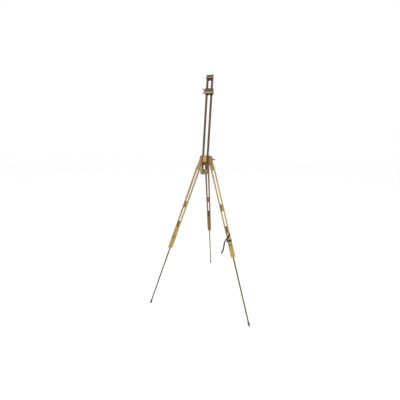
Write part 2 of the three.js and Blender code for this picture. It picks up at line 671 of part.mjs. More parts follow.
/** The free end of the strap as a plain solid along its route. */
function strapTail() {
  const points = STRAP_TAIL_ROUTE.map((point) => new THREE.Vector3(...point));
  const route = new THREE.CatmullRomCurve3(points, false, 'centripetal');
  const half = STRAP_TAIL.thickness / 2;
  const section = roundedRectangle(-half, -STRAP.width / 2, half, STRAP.width / 2, STRAP_TAIL.edgeRadius);
  return new THREE.ExtrudeGeometry(section, {
    extrudePath: route, steps: 16, bevelEnabled: false, curveSegments: 1,
  });
}

/** The closing strap on a leg: two turns, a buckle and the free end. */
function buildStrap() {
  const [halfWidth, halfHeight] = [BUCKLE.width / 2, BUCKLE.height / 2];
  const outline = roundedRectangle(-halfWidth, -halfHeight, halfWidth, halfHeight, BUCKLE.corner);
  const buckle = plateXZ(outline, -BUCKLE.depth / 2, BUCKLE.depth / 2, 3);
  buckle.rotateY(THREE.MathUtils.degToRad(BUCKLE.turn)).translate(...BUCKLE.at);
  return [
    piece('strap_upper_turn', strapLoop(STRAP_TURN.upperDrop, STRAP_TURN.upperSlope), BLACK_WEBBING),
    piece('strap_lower_turn', strapLoop(STRAP_TURN.lowerDrop, 0), BLACK_WEBBING),
    piece('strap_buckle', buckle, BLACK_RUBBER),
    piece('strap_tail', strapTail(), BLACK_WEBBING),
  ];
}

// ---- Assembly -----------------------------------------------------------------------------------

const easel = new THREE.Group();

const frontFrame = new THREE.Group();
frontFrame.position.set(0, 0, HEAD_HEIGHT);
frontFrame.rotation.x = -FRAME_LEAN;
easel.add(frontFrame);

frontFrame.add(...buildHeadBlocks(), ...buildHeadHardware());
frontFrame.add(...buildMast(), ...buildRest(), ...buildHolder());

const frontLegs = [['front_left', -1], ['front_right', 1]].map(([name, sign]) => {
  const leg = new THREE.Group();
  leg.position.set(sign * HINGE.pinX, 0, 0);
  leg.rotation.y = -sign * FRONT_SPLAY;
  frontFrame.add(leg);
  buildLeg(name, leg, frontHingeBlock());
  return leg;
});
frontLegs[1].add(...buildStrap());

const rearLeg = new THREE.Group();
rearLeg.position.set(0, REAR_HINGE.y, REAR_HINGE.z);
rearLeg.rotation.set(FRAME_LEAN + REAR_SPLAY, 0, Math.PI); // its screw and rod face the back
frontFrame.add(rearLeg);
buildLeg('rear', rearLeg, rearHingeBlock());

// The origin is on the floor under the middle of the easel's box.
const middle = new THREE.Box3().setFromObject(easel, true).getCenter(new THREE.Vector3());
easel.position.set(-middle.x, -middle.y, 0);

export default easel;
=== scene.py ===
"""A painter's folding field easel in beech, finished over its fixed CAD frame.

Wooden pieces are eased copies of their solids, cut from boards with their own grain. Nuts, bolts,
washers, rods, tips, buckle and webbing are shaped here, where the frame's own pieces lie. Sizes
are millimetres in a sub-assembly's own axes unless a name says otherwise; the scene is in metres.
"""

import json
import logging
import math
import random
from collections.abc import Iterable, Sequence
from dataclasses import dataclass, field
from enum import Enum

import bmesh
import bpy
from mathutils import Matrix, Vector


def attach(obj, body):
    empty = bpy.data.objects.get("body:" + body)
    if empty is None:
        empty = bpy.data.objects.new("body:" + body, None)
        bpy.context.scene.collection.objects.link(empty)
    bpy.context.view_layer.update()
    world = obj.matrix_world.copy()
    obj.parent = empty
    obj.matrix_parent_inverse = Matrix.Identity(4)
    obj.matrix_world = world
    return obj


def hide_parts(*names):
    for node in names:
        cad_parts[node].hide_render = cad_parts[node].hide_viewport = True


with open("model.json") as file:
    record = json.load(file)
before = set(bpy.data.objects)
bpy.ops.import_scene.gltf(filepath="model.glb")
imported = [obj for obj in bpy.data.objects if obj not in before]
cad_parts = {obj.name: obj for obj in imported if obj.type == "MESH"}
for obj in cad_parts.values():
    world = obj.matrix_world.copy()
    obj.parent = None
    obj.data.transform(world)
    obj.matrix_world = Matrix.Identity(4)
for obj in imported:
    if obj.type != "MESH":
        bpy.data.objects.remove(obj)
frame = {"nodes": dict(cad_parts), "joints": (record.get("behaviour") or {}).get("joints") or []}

MILLIMETRE = 0.001
LOG = logging.getLogger("easel")

Point = tuple[float, float, float]
Outline = Sequence[tuple[float, float]]


# ---- Places ---------------------------------------------------------------------------------


class Facing(Enum):
    """The ways a fastener or a screw can face in a sub-assembly's own axes."""

    RIGHT = (1, 0, 0)
    LEFT = (-1, 0, 0)
    REAR = (0, 1, 0)
    FRONT = (0, -1, 0)
    UP = (0, 0, 1)


@dataclass(frozen=True)
class Axes:
    """A sub-assembly's own axes in the row frame: across is X, back is Y and up is Z."""

    origin: Vector
    across: Vector
    back: Vector
    up: Vector

    def direction(self, x: float, y: float, z: float) -> Vector:
        """A direction of these axes, in the row frame."""
        return self.across * x + self.back * y + self.up * z

    def point(self, x: float, y: float, z: float) -> Vector:
        """A point in millimetres of these axes, as metres in the row frame."""
        return self.origin + self.direction(x, y, z) * MILLIMETRE

    def matrix(self) -> Matrix:
        """The transform from millimetres of these axes to metres in the row frame."""
        columns = [self.across * MILLIMETRE, self.back * MILLIMETRE, self.up * MILLIMETRE]
        return Matrix.Translation(self.origin) @ Matrix(columns).transposed().to_4x4()

    def turned(self, facing: Facing, spread: Facing) -> "Axes":
        """Axes at the same origin whose Z is facing and whose X is spread."""
        up = self.direction(*facing.value)
        across = self.direction(*spread.value)
        return Axes(self.origin, across, up.cross(across), up)

    def moved(self, x: float, y: float, z: float) -> "Axes":
        """The same axes from another origin."""
        return Axes(self.point(x, y, z), self.across, self.back, self.up)

    def extent(self, node: str) -> tuple[Vector, Vector]:
        """The lowest and highest corner of a CAD node along these axes, in millimetres."""
        inverse = self.matrix().inverted()
        places = [inverse @ vertex.co for vertex in frame["nodes"][node].data.vertices]
        low = Vector([min(place[i] for place in places) for i in range(3)])
        high = Vector([max(place[i] for place in places) for i in range(3)])
        return low, high


def joint(name: str) -> dict:
    """The frame's joint of that name."""
    return next(entry for entry in frame["joints"] if entry["name"] == name)


def front_axes() -> Axes:
    """The leaning front frame's axes, from between the two front hinges.

    Returns:
        Axes whose up runs along the mast and whose back points away from the canvas.
    """
    up = Vector(joint("mast_slide")["axis"])
    back = Vector(joint("front_right_fold")["axis"])
    left = Vector(joint("front_left_fold")["pos_m"])
    right = Vector(joint("front_right_fold")["pos_m"])
    return Axes((left + right) / 2, back.cross(up), back, up)


def leg_axes(leg: str) -> Axes:
    """A leg's axes from its hinge; its wing screw always faces FRONT in them.

    Args:
        leg: front_left, front_right or rear.

    Returns:
        Axes whose up runs along the rod.
    """
    up = Vector(joint(f"{leg}_rod_slide")["axis"])
    hinge = joint(f"{leg}_fold")
    if leg == "rear":
        across = Vector(hinge["axis"])
        return Axes(Vector(hinge["pos_m"]), across, up.cross(across), up)
    back = front_axes().back
    return Axes(Vector(hinge["pos_m"]), back.cross(up), back, up)


@dataclass(frozen=True)
class Seat:
    """Where a CAD piece of revolution lies: axes at the middle of its low end, and its size."""

    axes: Axes
    size: Vector

    @staticmethod
    def of(node: str, axes: Axes, facing: Facing, spread: Facing) -> "Seat":
        """Measures a node along its own axis.

        Args:
            node: the CAD node.
            axes: the axes of the sub-assembly it belongs to.
            facing: the way the piece points.
            spread: the way its X lies.

        Returns:
            The seat, with the origin on the piece's axis at its low end.
        """
        own = axes.turned(facing, spread)
        low, high = own.extent(node)
        middle = (low + high) / 2
        return Seat(own.moved(middle.x, middle.y, low.z), high - low)


# ---- Node trees -----------------------------------------------------------------------------


class Term:
    """The output of a node; arithmetic on it adds Math nodes to the same tree."""

    def __init__(self, tree: "NodeTree", socket: bpy.types.NodeSocket) -> None:
        """Wraps a socket of that tree."""
        self.tree = tree
        self.socket = socket

    def math(self, operation: str, *others: "Term | float") -> "Term":
        """This term and the others through one Math node."""
        sockets = dict(enumerate([self, *others]))
        return self.tree.node("ShaderNodeMath", {"operation": operation}, sockets).out()

    def __add__(self, other: "Term | float") -> "Term":
        """Sum."""
        return self.math("ADD", other)

    __radd__ = __add__

    def __mul__(self, other: "Term | float") -> "Term":
        """Product."""
        return self.math("MULTIPLY", other)

    __rmul__ = __mul__

    def __sub__(self, other: "Term | float") -> "Term":
        """Difference."""
        return self.math("SUBTRACT", other)

    def __rsub__(self, other: float) -> "Term":
        """A number less this term."""
        return (self * -1) + other

    def __truediv__(self, other: "Term | float") -> "Term":
        """Quotient."""
        return self.math("DIVIDE", other)

    def __pow__(self, other: float) -> "Term":
        """Power."""
        return self.math("POWER", other)


class Made:
    """A node that was made, whose outputs are read as terms."""

    def __init__(self, tree: "NodeTree", node: bpy.types.Node) -> None:
        """Wraps a node of that tree."""
        self.tree = tree
        self.node = node

    def out(self, name: str | int = 0) -> Term:
        """The output of that name or place."""
        return Term(self.tree, self.node.outputs[name])


class NodeTree:
    """A shader or geometry tree under construction."""

    def __init__(self, tree: bpy.types.NodeTree) -> None:
        """Takes the tree to build in."""
        self.tree = tree

    def node(self, kind: str, settings: dict | None = None, sockets: dict | None = None) -> Made:
        """Adds a node.

        Args:
            kind: the node's type.
            settings: attributes set first; "stops" gives a ramp's (position, colour) pairs.
            sockets: values, terms or lists of terms by input name or place.

        Returns:
            The node, ready to read outputs from.
        """
        node = self.tree.nodes.new(kind)
        for name, value in (settings or {}).items():
            if name == "stops":
                set_ramp(node.color_ramp, value)
            else:
                setattr(node, name, value)
        for name, value in (sockets or {}).items():
            terms = value if isinstance(value, list) else [value]
            for term in terms:
                if isinstance(term, Term):
                    self.tree.links.new(term.socket, node.inputs[name])
                else:
                    node.inputs[name].default_value = term
        return Made(self, node)

    def scaled(self, vector: Term, factors: Point) -> Term:
        """A vector with each part multiplied by its own factor."""
        settings = {"operation": "MULTIPLY"}
        return self.node("ShaderNodeVectorMath", settings, {0: vector, 1: factors}).out()

    def noise(self, vector: Term, scale: Point, detail: float = 2, distortion: float = 0) -> Term:
        """Noise between 0 and 1 over a vector stretched by scale."""
        sockets = {
            "Vector": self.scaled(vector, scale),
            "Scale": 1,
            "Detail": detail,
            "Distortion": distortion,
        }
        return self.node("ShaderNodeTexNoise", {}, sockets).out("Fac")

    def between(self, value: Term, low: float, high: float) -> Term:
        """How far a value lies between low and high, eased, from 0 to 1."""
        settings = {"interpolation_type": "SMOOTHSTEP"}
        sockets = {"Value": value, "From Min": low, "From Max": high}
        return self.node("ShaderNodeMapRange", settings, sockets).out("Result")

    def mix(self, factor: Term | float, first: "Term | Colour", second: "Term | Colour") -> Term:
        """A colour between two colours."""
        settings = {"data_type": "RGBA", "clamp_factor": True}
        made = self.node("ShaderNodeMix", settings, {0: factor, 6: rgba(first), 7: rgba(second)})
        return made.out(2)

    def brightened(self, colour: Term, factor: Term) -> Term:
        """A colour multiplied by a number."""
        settings = {"operation": "SCALE"}
        return self.node("ShaderNodeVectorMath", settings, {0: colour, "Scale": factor}).out()


Colour = tuple[float, float, float]


def rgba(colour: "Term | Colour") -> "Term | tuple":
    """A colour as a node socket takes it; a term stays as it is."""
    return colour if isinstance(colour, Term) else (*colour, 1.0)


def tint(code: int) -> Colour:
    """A display colour such as 0xC8A060 as linear numbers."""
    parts = [((code >> shift) & 255) / 255 for shift in (16, 8, 0)]
    return tuple(p / 12.92 if p <= 0.04045 else ((p + 0.055) / 1.055) ** 2.4 for p in parts)


class ShaderTree(NodeTree):
    """A material's tree, ending in one Principled surface."""

    def __init__(self, name: str) -> None:
        """Makes the material of that name."""
        self.material = bpy.data.materials.new(name)
        self.material.use_nodes = True
        super().__init__(self.material.node_tree)
        self.tree.nodes.clear()

    def coordinates(self) -> Term:
        """The piece's own coordinates, in metres."""
        return self.node("ShaderNodeTexCoord").out("Object")

    def attribute(self, name: str, output: str) -> Term:
        """An attribute of the mesh, read as Vector or Fac."""
        return self.node("ShaderNodeAttribute", {"attribute_name": name}).out(output)

    def bump(self, height: Term, depth: float) -> Term:
        """A normal raised by height, which is depth metres at 1."""
        return self.node("ShaderNodeBump", {}, {"Height": height, "Distance": depth}).out()

    def surface(self, **sockets: "Term | float | tuple") -> bpy.types.Material:
        """Ends the tree.

        Args:
            sockets: the Principled surface's inputs, with _ for each space.

        Returns:
            The material.
        """
        named = {name.replace("_", " "): value for name, value in sockets.items()}
        shader = self.node("ShaderNodeBsdfPrincipled", {}, named).out()
        self.node("ShaderNodeOutputMaterial", {}, {"Surface": shader})
        return self.material


# ---- Finishes -------------------------------------------------------------------------------


@dataclass(frozen=True)
class Timber:
    """Beech under oil, stain or varnish. Its grain runs along Z of the attribute "grain"."""

    name: str
    early: Colour
    late: Colour
    fleck: Colour
    roughness: float = 0.46
    coat: float = 0.12
    ring_spacing: float = 0.0026
    board_contrast: float = 0.12

    def material(self) -> bpy.types.Material:
        """Growth rings round a far pith, fine fibres, short flecks, darker edges and ends."""
        shader = ShaderTree(self.name)
        grain = shader.attribute("grain", "Vector")
        board = shader.attribute("board", "Fac")
        edge = shader.attribute("edge", "Fac")
        end = shader.attribute("end", "Fac")
        split = shader.node("ShaderNodeSeparateXYZ", {}, {0: grain})
        x, y = split.out("X"), split.out("Y")

        wander = shader.noise(grain, (9, 9, 1.6), 2) - 0.5
        radius = (x * x + y * y).math("SQRT") + wander * 0.011
        phase = (radius / self.ring_spacing).math("FRACT")
        late = (phase**3) * (1 - shader.between(phase, 0.9, 1.0))
        fibres = shader.noise(grain, (850, 850, 16), 3)
        streaks = shader.noise(grain, (160, 160, 3.2), 2)
        flecks = shader.between(shader.noise(grain, (1500, 1500, 210), 1), 0.64, 0.72)
        blotch = shader.noise(grain, (22, 22, 4), 2)

        wood = shader.mix(late * 0.75 + (streaks - 0.45) * 0.9, self.early, self.late)
        wood = shader.mix(flecks * 0.55, wood, self.fleck)
        wood = shader.mix(edge * shader.between(blotch, 0.35, 0.7) * 0.45, wood, self.fleck)
        tone = 0.9 + fibres * 0.2 + board * self.board_contrast
        tone = (tone + (blotch - 0.5) * 0.16) * (1 - end * 0.3)
        height = fibres * 0.55 + late * 0.25 - flecks * 0.5
        return shader.surface(
            Base_Color=shader.brightened(wood, tone),
            Roughness=self.roughness + (fibres - 0.5) * 0.16 + end * 0.22,
            Coat_Weight=self.coat,
            Coat_Roughness=0.28,
            Specular_IOR_Level=0.4,
            Normal=shader.bump(height, 0.00022),
        )


@dataclass(frozen=True)
class DullSteel:
    """Zinc-plated steel gone dull, with darker stains and fine pitting."""

    name: str = "dull_steel"
    bright: Colour = (0.34, 0.33, 0.31)
    stained: Colour = (0.15, 0.14, 0.12)

    def material(self) -> bpy.types.Material:
        """Cloudy plating over a slightly pitted casting."""
        shader = ShaderTree(self.name)
        place = shader.coordinates()
        cloud = shader.noise(place, (130, 130, 130), 4, 0.6)
        pits = shader.noise(place, (1400, 1400, 1400), 2)
        stain = shader.between(cloud, 0.42, 0.68)
        return shader.surface(
            Base_Color=shader.mix(stain, self.bright, self.stained),
            Metallic=0.95,
            Roughness=0.34 + stain * 0.2 + (pits - 0.5) * 0.14,
            Normal=shader.bump(pits * 0.6 + cloud * 0.4, 0.00018),
        )


@dataclass(frozen=True)
class BlackRubber:
    """Moulded rubber, dusty where it meets the ground."""

    name: str = "moulded_rubber"
    base: Colour = (0.06, 0.059, 0.056)
    dust: Colour = (0.17, 0.155, 0.13)

    def material(self) -> bpy.types.Material:
        """Dark rubber with dust low down and a fine moulded texture."""
        shader = ShaderTree(self.name)
        place = shader.coordinates()
        height = shader.node("ShaderNodeSeparateXYZ", {}, {0: place}).out("Z")
        grit = shader.noise(place, (420, 420, 420), 3)
        scuff = shader.noise(place, (90, 90, 90), 3, 0.8)
        low = 1 - shader.between(height, 0.0, 0.02)
        dusty = shader.between(scuff + low * 0.3, 0.55, 0.85)
        return shader.surface(
            Base_Color=shader.mix(dusty * 0.7, self.base, self.dust),
            Roughness=0.62 + dusty * 0.25,
            Specular_IOR_Level=0.35,
            Normal=shader.bump(grit, 0.00025),
        )


@dataclass(frozen=True)
class BlackPlastic:
    """Moulded black plastic with a satin, faintly scratched face."""

    name: str = "moulded_plastic"
    base: Colour = (0.018, 0.018, 0.019)
    worn: Colour = (0.055, 0.055, 0.056)

    def material(self) -> bpy.types.Material:
        """Satin plastic with worn, paler patches."""
        shader = ShaderTree(self.name)
        place = shader.coordinates()
        wear = shader.between(shader.noise(place, (260, 260, 260), 3, 0.4), 0.55, 0.75)
        texture = shader.noise(place, (1800, 1800, 1800), 2)
        return shader.surface(
            Base_Color=shader.mix(wear * 0.6, self.base, self.worn),
            Roughness=0.38 + wear * 0.2,
            Normal=shader.bump(texture, 0.00008),
        )


@dataclass(frozen=True)
class WovenWebbing:
    """Black woven webbing. Its UV runs in metres: U along the band and V round its section."""

    name: str = "woven_webbing"
    yarn: Colour = (0.007, 0.007, 0.008)
    # Painted highlight: the lighter colour given to the yarns' raised crowns.
    crown_highlight: Colour = (0.022, 0.022, 0.024)
    pitch_along: float = 0.0016
    pitch_round: float = 0.0011

    def material(self) -> bpy.types.Material:
        """Yarns crossing over and under each other, with a little fuzz, and a painted highlight
        lightening their raised crowns.
        """
        shader = ShaderTree(self.name)
        uv = shader.node("ShaderNodeUVMap", {"uv_map": "band"}).out()
        split = shader.node("ShaderNodeSeparateXYZ", {}, {0: uv})
        along = (split.out("X") * (math.pi / self.pitch_along)).math("SINE")
        across = (split.out("Y") * (math.pi / self.pitch_round)).math("SINE")
        weave = (along * across + 1) * 0.5
        fuzz = shader.noise(shader.coordinates(), (1600, 1600, 1600), 2)
        # Painted highlight mask: highest where the weave's crowns stand up.
        crown_highlight = shader.between(weave + (fuzz - 0.5) * 0.5, 0.5, 0.95)
        return shader.surface(
            Base_Color=shader.mix(crown_highlight, self.yarn, self.crown_highlight),
            Roughness=0.88 - crown_highlight * 0.1,
            Sheen_Weight=0.08,
            Normal=shader.bump(weave + fuzz * 0.35, 0.00035),
        )


@dataclass(frozen=True)
class Thread:
    """Sewing thread, slightly paler than the webbing it holds."""

    name: str = "sewing_thread"
    low: Colour = (0.05, 0.05, 0.052)
    high: Colour = (0.12, 0.12, 0.125)

    def material(self) -> bpy.types.Material:
        """Twisted polyester thread."""
        shader = ShaderTree(self.name)
        twist = shader.noise(shader.coordinates(), (2600, 2600, 2600), 1)
        return shader.surface(
            Base_Color=shader.mix(twist, self.low, self.high),
            Roughness=0.6,
            Normal=shader.bump(twist, 0.0001),
        )


@dataclass(frozen=True)
class PaleFloor:
    """A matte, pale studio floor."""

    name: str = "pale_floor"
    low: Colour = (0.985, 0.985, 0.985)
    high: Colour = (0.995, 0.995, 0.995)

    def material(self) -> bpy.types.Material:
        """Faintly mottled paint."""
        shader = ShaderTree(self.name)
        mottle = shader.noise(shader.coordinates(), (1.4, 1.4, 1.4), 3)
        return shader.surface(Base_Color=shader.mix(mottle, self.low, self.high), Roughness=0.8)


class Finish(Enum):
    """Every finish on the easel, with the record's material slot it belongs to."""

    PALE = ("pale_beech", Timber("pale_timber", tint(0xA38E5C), tint(0x7C673C), tint(0x544022)))
    # A lighter copy of the pale beech for the front legs' bridges: painted light against the shade
    # they sit in between the slats.
    FRESH = ("pale_beech", Timber("fresh_timber", tint(0xC6A884), tint(0xA08460), tint(0x6C5234)))
    # A darker copy of the pale beech for the rear leg: painted shade for its face turned from the
    # light.
    AGED = ("pale_beech", Timber("aged_timber", tint(0x74532C), tint(0x543A18), tint(0x38240E)))
    GOLDEN = ("golden_beech", Timber("golden_timber", tint(0xA88A48), tint(0x80652E), tint(0x563E1A)))
    # A darker copy of the golden beech for the rear leg's guide block: painted shade, as on the rest
    # of that leg.
    AGED_GUIDE = (
        "golden_beech",
        Timber("aged_guide_timber", tint(0x785630), tint(0x553B1C), tint(0x3A2610)),
    )
    DOWEL = ("golden_beech", Timber("dowel_timber", tint(0x5A4220), tint(0x3E2C12), tint(0x281A08)))
    # Dark stained beech for the mast; on the holder's saddle the same dark brown is painted shade for
    # the holder's shaded underside.
    STAINED = (
        "mast_beech",
        Timber("stained_timber", tint(0x4C3218), tint(0x34220F), tint(0x201305), 0.42, 0.2),
    )
    VARNISHED = (
        "head_beech",
        Timber("varnished_timber", tint(0xAA7E44), tint(0x7E5220), tint(0x4E300E), 0.38, 0.3),
    )
    BATTEN = ("head_beech", Timber("batten_timber", tint(0x907454), tint(0x6C5036), tint(0x463320)))
    OLIVE = ("head_beech", Timber("olive_timber", tint(0x80744E), tint(0x605432), tint(0x40351C)))
    STEEL = ("dark_steel", DullSteel())
    RUBBER = ("black_rubber", BlackRubber())
    PLASTIC = ("black_plastic", BlackPlastic())
    WEBBING = ("black_webbing", WovenWebbing())
    THREAD = ("black_webbing", Thread())

    @property
    def slot(self) -> str:
        """The record's slot."""
        return self.value[0]

    def material(self) -> bpy.types.Material:
        """This finish's material, made the first time that it is asked for."""
        recipe = self.value[1]
        return bpy.data.materials.get(recipe.name) or recipe.material()


# ---- Shaping --------------------------------------------------------------------------------


class Blank:
    """A mesh being shaped, in millimetres of its own axes."""

    def __init__(self) -> None:
        """Starts empty."""
        self.mesh = bmesh.new()

    def loft(self, rings: Sequence[Sequence[Point]], looped: bool = False) -> "Blank":
        """Skins closed rings of points, one after another.

        Args:
            rings: each ring has the same number of points, or one point for a pole.
            looped: joins the last ring to the first; otherwise both ends are closed.

        Returns:
            This blank.
        """
        made = [[self.mesh.verts.new(point) for point in ring] for ring in rings]
        pairs = list(zip(made, made[1:])) + ([(made[-1], made[0])] if looped else [])
        for low, high in pairs:
            count = max(len(low), len(high))
            for i in range(count):
                corners = [low[i % len(low)], low[(i + 1) % len(low)]]
                corners += [high[(i + 1) % len(high)], high[i % len(high)]]
                unique = list(dict.fromkeys(corners))
                self.mesh.faces.new(unique)
        if not looped:
            for ring in (made[0], made[-1]):
                if len(ring) > 2:
                    self.mesh.faces.new(ring)
        return self

    def revolve(self, profile: Outline, sides: int, looped: bool = False) -> "Blank":
        """Turns (radius, station) pairs about Z; a radius of 0 is a pole.

        Args:
            profile: the pairs, in order along the surface.
            sides: how many steps round.
            looped: closes the profile on itself, for a ring.

        Returns:
            This blank.
        """
        turns = [2 * math.pi * i / sides for i in range(sides)]
        rings = []
        for radius, station in profile:
            around = turns if radius > 0 else [0.0]
            rings.append([(radius * math.cos(t), radius * math.sin(t), station) for t in around])
        return self.loft(rings, looped)

    def prism(self, outline: Outline, low: float, high: float) -> "Blank":
        """Extrudes an outline in X and Z along Y."""
        return self.loft([[(x, y, z) for x, z in outline] for y in (low, high)])

    def bar(self, start: Point, end: Point, width: float, depth: float) -> "Blank":
        """A rectangular bar between two points in one XZ plane; width lies in that plane."""
        first, last = Vector(start), Vector(end)
        side = (last - first).normalized().cross(Vector((0, 1, 0))) * (width / 2)
        deep = Vector((0, depth / 2, 0))
        corners = (side + deep, side - deep, -side - deep, -side + deep)
        return self.loft([[tuple(place + corner) for corner in corners] for place in (first, last)])

    def eased(self, width: float, segments: int = 2, sharpness: float = 28) -> "Blank":
        """Rounds every edge that is sharper than an angle in degrees, marking the new faces."""
        limit = math.radians(sharpness)
        edge = self.mesh.faces.layers.float.new("edge")
        sharp = [e for e in self.mesh.edges if e.is_manifold and e.calc_face_angle() > limit]
        made = bmesh.ops.bevel(
            self.mesh,
            geom=sharp,
            offset=width,
            offset_type="OFFSET",
            segments=segments,
            profile=0.5,
            affect="EDGES",
            clamp_overlap=True,
        )
        for face in made["faces"]:
            face[edge] = 1.0
        return self

    def fused(self, voxel: float, smoothing: int) -> "Blank":
        """Melts overlapping shapes into one skin with soft fillets, as a casting has."""
        bmesh.ops.recalc_face_normals(self.mesh, faces=self.mesh.faces)
        host = new_object("casting", self.to_mesh(Matrix.Identity(4)), None)
        melt = host.modifiers.new("melt", "REMESH")
        melt.mode = "VOXEL"
        melt.voxel_size = voxel
        soften = host.modifiers.new("soften", "SMOOTH")
        soften.iterations = smoothing
        settle(host)
        self.mesh = bmesh.new()
        self.mesh.from_mesh(host.data)
        bpy.data.objects.remove(host)
        return self

    def to_mesh(self, matrix: Matrix, smooth: bool = True) -> bpy.types.Mesh:
        """Ends the shaping.

        Args:
            matrix: the transform to put the shape in place.
            smooth: smooth shading, or flat.

        Returns:
            The mesh, facing outwards.
        """
        self.mesh.transform(matrix)
        bmesh.ops.recalc_face_normals(self.mesh, faces=self.mesh.faces)
        for face in self.mesh.faces:
            face.smooth = smooth
        mesh = bpy.data.meshes.new("shape")
        self.mesh.to_mesh(mesh)
        self.mesh.free()
        return mesh


def new_object(name: str, mesh: bpy.types.Mesh, finish: Finish | None) -> bpy.types.Object:
    """Links a mesh into the scene under a name, with its finish."""
    obj = bpy.data.objects.new(name, mesh)
    mesh.name = name
    if finish is not None:
        mesh.materials.clear()
        mesh.materials.append(finish.material())
    bpy.context.scene.collection.objects.link(obj)
    return obj


def settle(obj: bpy.types.Object) -> None:
    """Applies an object's modifiers, so that a plain mesh is left."""
    bpy.context.view_layer.update()
    graph = bpy.context.evaluated_depsgraph_get()
    mesh = bpy.data.meshes.new_from_object(
        obj.evaluated_get(graph), preserve_all_data_layers=True, depsgraph=graph
    )
    obj.modifiers.clear()
    obj.data = mesh


def soften_shading(obj: bpy.types.Object) -> None:
    """Lets flat faces keep flat shading while narrow eased edges shade round."""
    weighted = obj.modifiers.new("weighted", "WEIGHTED_NORMAL")
    weighted.weight = 90
    settle(obj)


def fit_out(obj: bpy.types.Object, body: str, finish: Finish, *nodes: str) -> bpy.types.Object:
    """Puts a finished piece on its body, in place of its CAD nodes.

    Args:
        obj: the piece, in place.
        body: the CAD body it moves with.
        finish: not used.
        nodes: the CAD nodes it stands for.

    Returns:
        The piece.
    """
    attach(obj, body)
    if nodes:
        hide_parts(*nodes)
    LOG.info("%s: %d faces, on %s", obj.name, len(obj.data.polygons), body)
    return obj


# ---- Woodwork -------------------------------------------------------------------------------


class GrainRun(Enum):
    """Which way of its sub-assembly a board's grain runs."""

    UPRIGHT = (0, 1, 2)
    CROSSWISE = (1, 2, 0)


@dataclass(frozen=True)
class Board:
    """How a wooden piece is cut: its finish, its grain and how far its edges are eased."""

    finish: Finish
    run: GrainRun = GrainRun.UPRIGHT
    easing: float = 0.9
    pith_distance: tuple[float, float] = (0.045, 0.11)
    end_cosine: float = 0.8

    def cut(self, node: str, body: str, axes: Axes) -> bpy.types.Object:
        """Makes a wooden piece from its CAD solid.

        Args:
            node: the CAD node, which the piece replaces.
            body: the body it moves with.
            axes: the axes of its sub-assembly.

        Returns:
            The piece.
        """
        blank = Blank()
        blank.mesh.from_mesh(frame["nodes"][node].data)
        blank.mesh.transform(Matrix.Scale(1 / MILLIMETRE, 4))
        bmesh.ops.remove_doubles(blank.mesh, verts=blank.mesh.verts, dist=0.01)
        bmesh.ops.dissolve_limit(
            blank.mesh, angle_limit=math.radians(0.4), verts=blank.mesh.verts, edges=blank.mesh.edges
        )
        blank.eased(self.easing)
        piece = new_object(
            f"{node}_wood", blank.to_mesh(Matrix.Scale(MILLIMETRE, 4)), self.finish
        )
        self.mark_grain(piece.data, node, axes)
        soften_shading(piece)
        return fit_out(piece, body, self.finish, node)

    def mark_grain(self, mesh: bpy.types.Mesh, name: str, axes: Axes) -> None:
        """Writes where each point lies in the board that the piece was cut from.

        Args:
            mesh: the piece's mesh, in the row frame.
            name: the piece's name, which picks its board.
            axes: the axes that the grain follows.
        """
        draw = random.Random(name)
        turn = draw.uniform(0, 2 * math.pi)
        reach = draw.uniform(*self.pith_distance)
        shift = Vector((reach * math.cos(turn), reach * math.sin(turn), draw.uniform(0, 3)))
        tone = draw.uniform(-1, 1)
        inverse = axes.matrix().inverted()
        places = [(inverse @ vertex.co) * MILLIMETRE for vertex in mesh.vertices]
        grain = mesh.attributes.new("grain", "FLOAT_VECTOR", "POINT")
        for i, place in enumerate(places):
            grain.data[i].vector = Vector([place[k] for k in self.run.value]) + shift
        board = mesh.attributes.new("board", "FLOAT", "POINT")
        for i in range(len(places)):
            board.data[i].value = tone
        along = axes.direction(*[float(k == self.run.value[2]) for k in range(3)])
        end = mesh.attributes.new("end", "FLOAT", "FACE")
        for i, face in enumerate(mesh.polygons):
            end.data[i].value = float(abs(face.normal.dot(along)) > self.end_cosine)


# ---- Metalwork ------------------------------------------------------------------------------


